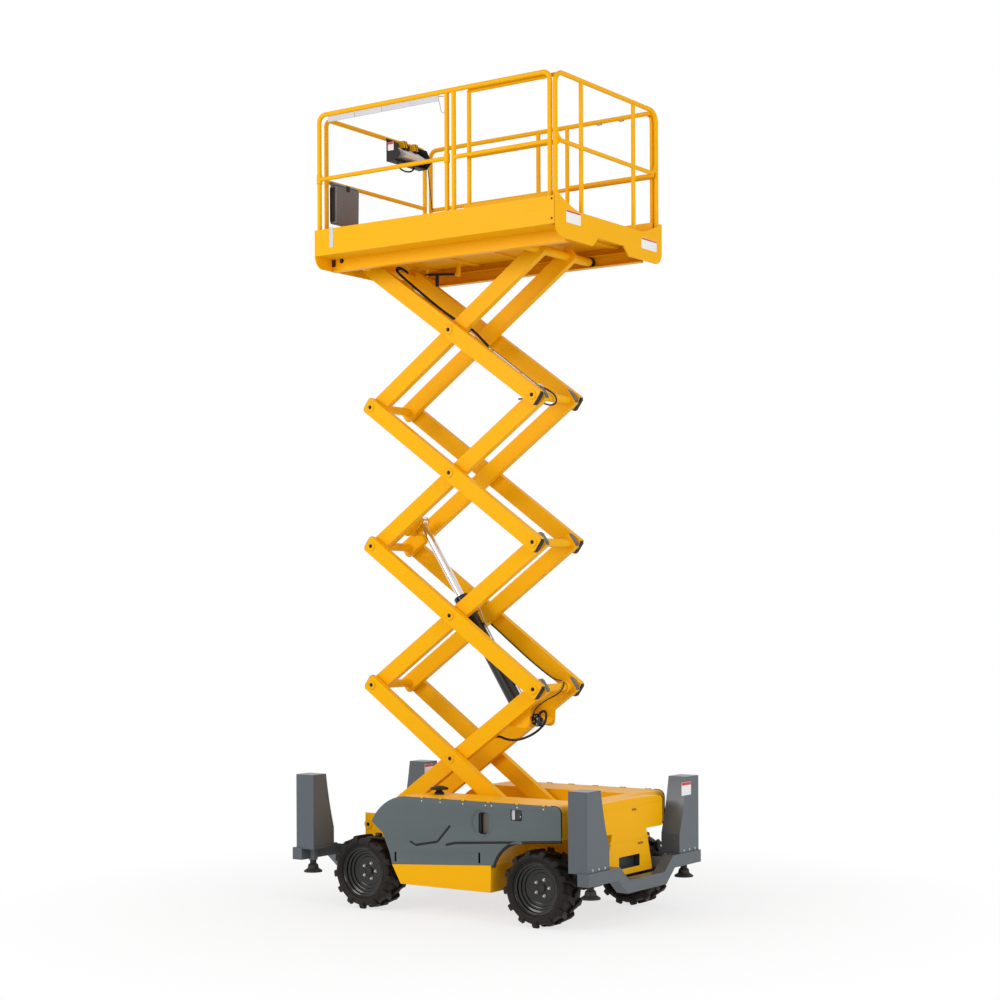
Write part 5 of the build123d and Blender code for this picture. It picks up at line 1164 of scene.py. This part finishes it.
# ------------------------------------------------------------------ control console
# The console is a steel cradle hooked over the rear rail, with a sloping moulded panel, a
# joystick, an emergency knob and a switch. Its lead hangs below, and a thin stay rod leans
# between the rear rails at the far corner.
console_low, console_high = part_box("control_box")
dress("black_plastic", black_rubber_and_shade)
console_x, cradle_x1 = console_low.x, console_high.x
console_y, console_wide = (console_low.y + console_high.y) / 2, console_high.y - console_low.y
panel_y0, panel_y1 = console_low.y + 0.120, console_high.y - 0.110
console = bmesh.new()
folded_prism(console, ((console_x, console_low.z + 0.050), (console_x + 0.125, console_low.z + 0.050),
                       (cradle_x1 - 0.003, console_low.z + 0.075), (console_x + 0.042, console_high.z - 0.070),
                       (console_x, console_high.z - 0.070)), panel_y0, panel_y1, 0.006)
console_grey = finish("console_case", (0.74, 0.73, 0.74), 0.38, 0.5, grain=400, bump=0.06, dust=0.1, shine=0.35)
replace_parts(keep(settled("console_panel", console), "platform", console_grey), "control_box")
CHEEK_T = 0.012
cradle = bmesh.new()
for y in (console_low.y + 0.010, console_high.y - 0.020):
    folded_prism(cradle, ((console_x, console_low.z), (console_x + 0.10, console_low.z),
                          (cradle_x1, console_low.z + 0.060), (console_x + 0.10, console_high.z - 0.040),
                          (console_x, console_high.z)), y - CHEEK_T / 2, y + CHEEK_T / 2, 0.002)
slab(cradle, (console_x + 0.050, console_y, console_low.z + 0.004), (0.096, console_wide - 0.02, 0.006), 0.001,
     ALONG, ACROSS)
slab(cradle, (console_x + 0.004, console_y, console_low.z + 0.110), (console_wide - 0.03, 0.200, 0.005), 0.001, ACROSS)
# the joystick, the emergency knob and the switch, each a collar on the panel with a stem above it
PANEL_TILT = (0.3, 0, 1)
for y, wide, tall in ((panel_y0 + 0.070, 0.020, 0.016), (panel_y0 + 0.130, 0.014, 0.012),
                      (panel_y1 - 0.050, 0.018, 0.020)):
    disc(cradle, (console_x + 0.075, y, console_high.z - 0.082), PANEL_TILT, wide, tall, 16)
    disc(cradle, (console_x + 0.082, y, console_high.z - 0.058), PANEL_TILT, wide * 0.45, 0.044, 12)
keep(settled("console_cradle", cradle), "platform", black_rubber_and_shade)
notice("console_notice", (console_x + 0.055, console_low.y + 0.0035, console_high.z - 0.085), ALONG, 0.070, 0.080,
       "platform", 0.25)
# striped guard plates stand either side of the joystick
STRIPES, STRIPE_PITCH, STRIPE_W = 4, 0.016, 0.0156
for name, first, slot, material in (("guard_yellow", 0, "yellow_paint", yellow),
                                    ("guard_black", 1, "black_plastic", black_rubber_and_shade)):
    boxes(name, "platform", slot, material, *(
        ((console_x + 0.070, y + STRIPE_PITCH * count, console_high.z - 0.042), (STRIPE_W, 0.060, 0.066), 0.001,
         (0, 1, 0.35), ALONG)
        for y in (panel_y0 + 0.035, panel_y1 - 0.095) for count in range(first, STRIPES, 2)))
# points listed from the console's low corner: the lead droops below it and comes back up
LEAD_ROUTE = ((0.060, 0.110, 0.004), (0.060, 0.110, -0.030), (0.055, 0.160, -0.056), (0.050, 0.260, -0.060),
              (0.050, 0.350, -0.038), (0.050, 0.380, 0.004))
tube_along("console_lead", [console_low + Vector(step) for step in LEAD_ROUTE], 0.0085, "platform",
           hose_rubber)
rod_top, rod_foot = Vector((-1.300, 0.746, 7.050)), Vector((-1.300, 0.815, 6.640))
tube_along("stay_rod", [rod_top, (rod_top + rod_foot) / 2, rod_foot], 0.0045, "platform", black_rubber_and_shade,
           smooth=False)

# ------------------------------------------------------------------ under the platform
# A black stay bar hangs under the floor beside the far arms, in a yellow eye at one end and on
# a hanger at the other.
STAY_Y, STAY_W = 0.186, 0.020
boxes("floor_stay", "platform", "black_plastic", black_rubber_and_shade,
      ((-0.720, STAY_Y, 5.857), (0.370, STAY_W, 0.022), 0.003, (0.360, 0, -0.031), ACROSS),
      ((-0.772, STAY_Y, 5.800), (0.104, STAY_W, 0.030), 0.003, UP, ACROSS))
eye = bmesh.new()
slab(eye, (-0.885, STAY_Y, 5.900), (0.090, STAY_W, 0.020), 0.003, UP, ACROSS)
slab(eye, (-0.522, STAY_Y, 5.882), (0.120, 0.030, 0.030), 0.004, UP, ACROSS)
disc(eye, (-0.545, STAY_Y, 5.842), ALONG, 0.018, 0.020, 12)
keep(settled("stay_eye", eye), "platform", yellow)

# ------------------------------------------------------------------ studio
# A pale sweep of floor and wall stands round the machine. Two broad soft lamps and an even
# white air light it, and the camera is low and far off.


def sweep():
    """A pale floor that curves up into a wall behind."""
    back, bend, steps = 16.0, 5.0, 12
    profile = [(-30.0, 0.0), (back, 0.0)]
    for step in range(1, steps + 1):
        turn = math.pi / 2 * step / steps
        profile.append((back + bend * math.sin(turn), bend - bend * math.cos(turn)))
    profile.append((back + bend, 30.0))
    mesh = bmesh.new()
    rows = []
    for reach, up in profile:
        rows.append([mesh.verts.new((side * 40.0, reach, up)) for side in (-1, 1)])
    for row, after in zip(rows, rows[1:]):
        mesh.faces.new((row[0], row[1], after[1], after[0]))
    return settled("studio_sweep", mesh)


def rays_of(tree, *kinds):
    """One for rays of those kinds and nought for the others."""
    rays = tree.nodes.new("ShaderNodeLightPath")
    share = rays.outputs[kinds[0]]
    for kind in kinds[1:]:
        share = math_node(tree, "ADD", share, rays.outputs[kind], clamp=True)
    return share


floor = sweep()
VIEW_TURN = math.radians(34.883)
floor.data.transform(Matrix.Rotation(VIEW_TURN, 4, "Z"))
floor.data.transform(Matrix.Translation((0, 0, -0.0005)))
paper = bpy.data.materials.new("studio_paper")
paper.use_nodes = True
tree = paper.node_tree
tree.nodes.remove(tree.nodes["Principled BSDF"])
tone = mixed(tree, noise(tree, 0.4, 2.0), (0.86, 0.86, 0.86, 1), (0.88, 0.88, 0.88, 1))
diffuse = added(tree, "ShaderNodeBsdfDiffuse", Color=tone)
# away from the machine the paper is seen plain white; close to it, part of its shade shows
GLOW_FROM, GLOW_REACH, GLOW_LEAST = 1.6, 3.2, 0.72
glow = tree.nodes.new("ShaderNodeEmission")
seen = rays_of(tree, "Is Camera Ray", "Is Glossy Ray", "Is Transmission Ray")
spot = added(tree, "ShaderNodeSeparateXYZ", Vector=own_place(tree))
apart = math_node(tree, "SQRT", math_node(tree, "ADD", math_node(tree, "POWER", spot.outputs["X"], 2.0),
                                          math_node(tree, "POWER", spot.outputs["Y"], 2.0)))
apart = math_node(tree, "DIVIDE", math_node(tree, "SUBTRACT", apart, GLOW_FROM), GLOW_REACH, clamp=True)
share = math_node(tree, "ADD", math_node(tree, "MULTIPLY", apart, 1 - GLOW_LEAST), GLOW_LEAST)
seen = math_node(tree, "MULTIPLY", seen, share)
blend = tree.nodes.new("ShaderNodeMixShader")
for socket, value in zip(blend.inputs, (seen, diffuse.outputs[0], glow.outputs[0])):
    feed(tree, socket, value)
feed(tree, tree.nodes["Material Output"].inputs["Surface"], blend.outputs[0])
floor.data.materials.append(paper)

world = bpy.data.worlds.new("studio_air")
bpy.context.scene.world = world
world.use_nodes = True
tree = world.node_tree
background = tree.nodes["Background"]
background.inputs["Color"].default_value = (1, 1, 1, 1)
# the air is seen at full strength and lights the machine at part of it
AIR_SEEN, AIR_LIGHT = 1.0, 0.58
seen = rays_of(tree, "Is Camera Ray", "Is Glossy Ray")
strength = math_node(tree, "ADD", math_node(tree, "MULTIPLY", seen, AIR_SEEN - AIR_LIGHT), AIR_LIGHT)
feed(tree, background.inputs["Strength"], strength)


def lamp(name, place, aim, size, power):
    """A square soft lamp aimed at a point."""
    light = bpy.data.lights.new(name, "AREA")
    light.shape = "SQUARE"
    light.size = size
    light.energy = power
    source = linked(name, light)
    source.location = place
    source.rotation_euler = (Vector(aim) - Vector(place)).to_track_quat("-Z", "Y").to_euler()


lamp("key_lamp", (-5.0, -12.0, 8.0), (0, 0, 3.4), 6.0, 760)
lamp("side_lamp", (10.0, -2.0, 5.5), (0, 0, 3.0), 5.0, 330)

camera_data = bpy.data.cameras.new("camera")
camera_data.lens = 68.388
camera_data.sensor_width = 36.0
camera_data.shift_y = 0.10773
camera_data.clip_end = 200.0
camera = linked("camera", camera_data)
EYE = (9.9747, -14.2141, 2.7678)
PITCH, ROLL = math.radians(-0.177), math.radians(-0.233)
forward = Vector((-math.sin(VIEW_TURN), math.cos(VIEW_TURN), 0))
right = Vector((math.cos(VIEW_TURN), math.sin(VIEW_TURN), 0))
up = Vector(UP)
ahead = forward * math.cos(PITCH) + up * math.sin(PITCH)
above = up * math.cos(PITCH) - forward * math.sin(PITCH)
camera_x = right * math.cos(ROLL) + above * math.sin(ROLL)
camera_y = above * math.cos(ROLL) - right * math.sin(ROLL)
camera.matrix_world = Matrix.Translation(EYE) @ Matrix((camera_x, camera_y, -ahead)).transposed().to_4x4()
bpy.context.scene.camera = camera
bpy.context.scene.view_settings.view_transform = "Standard"
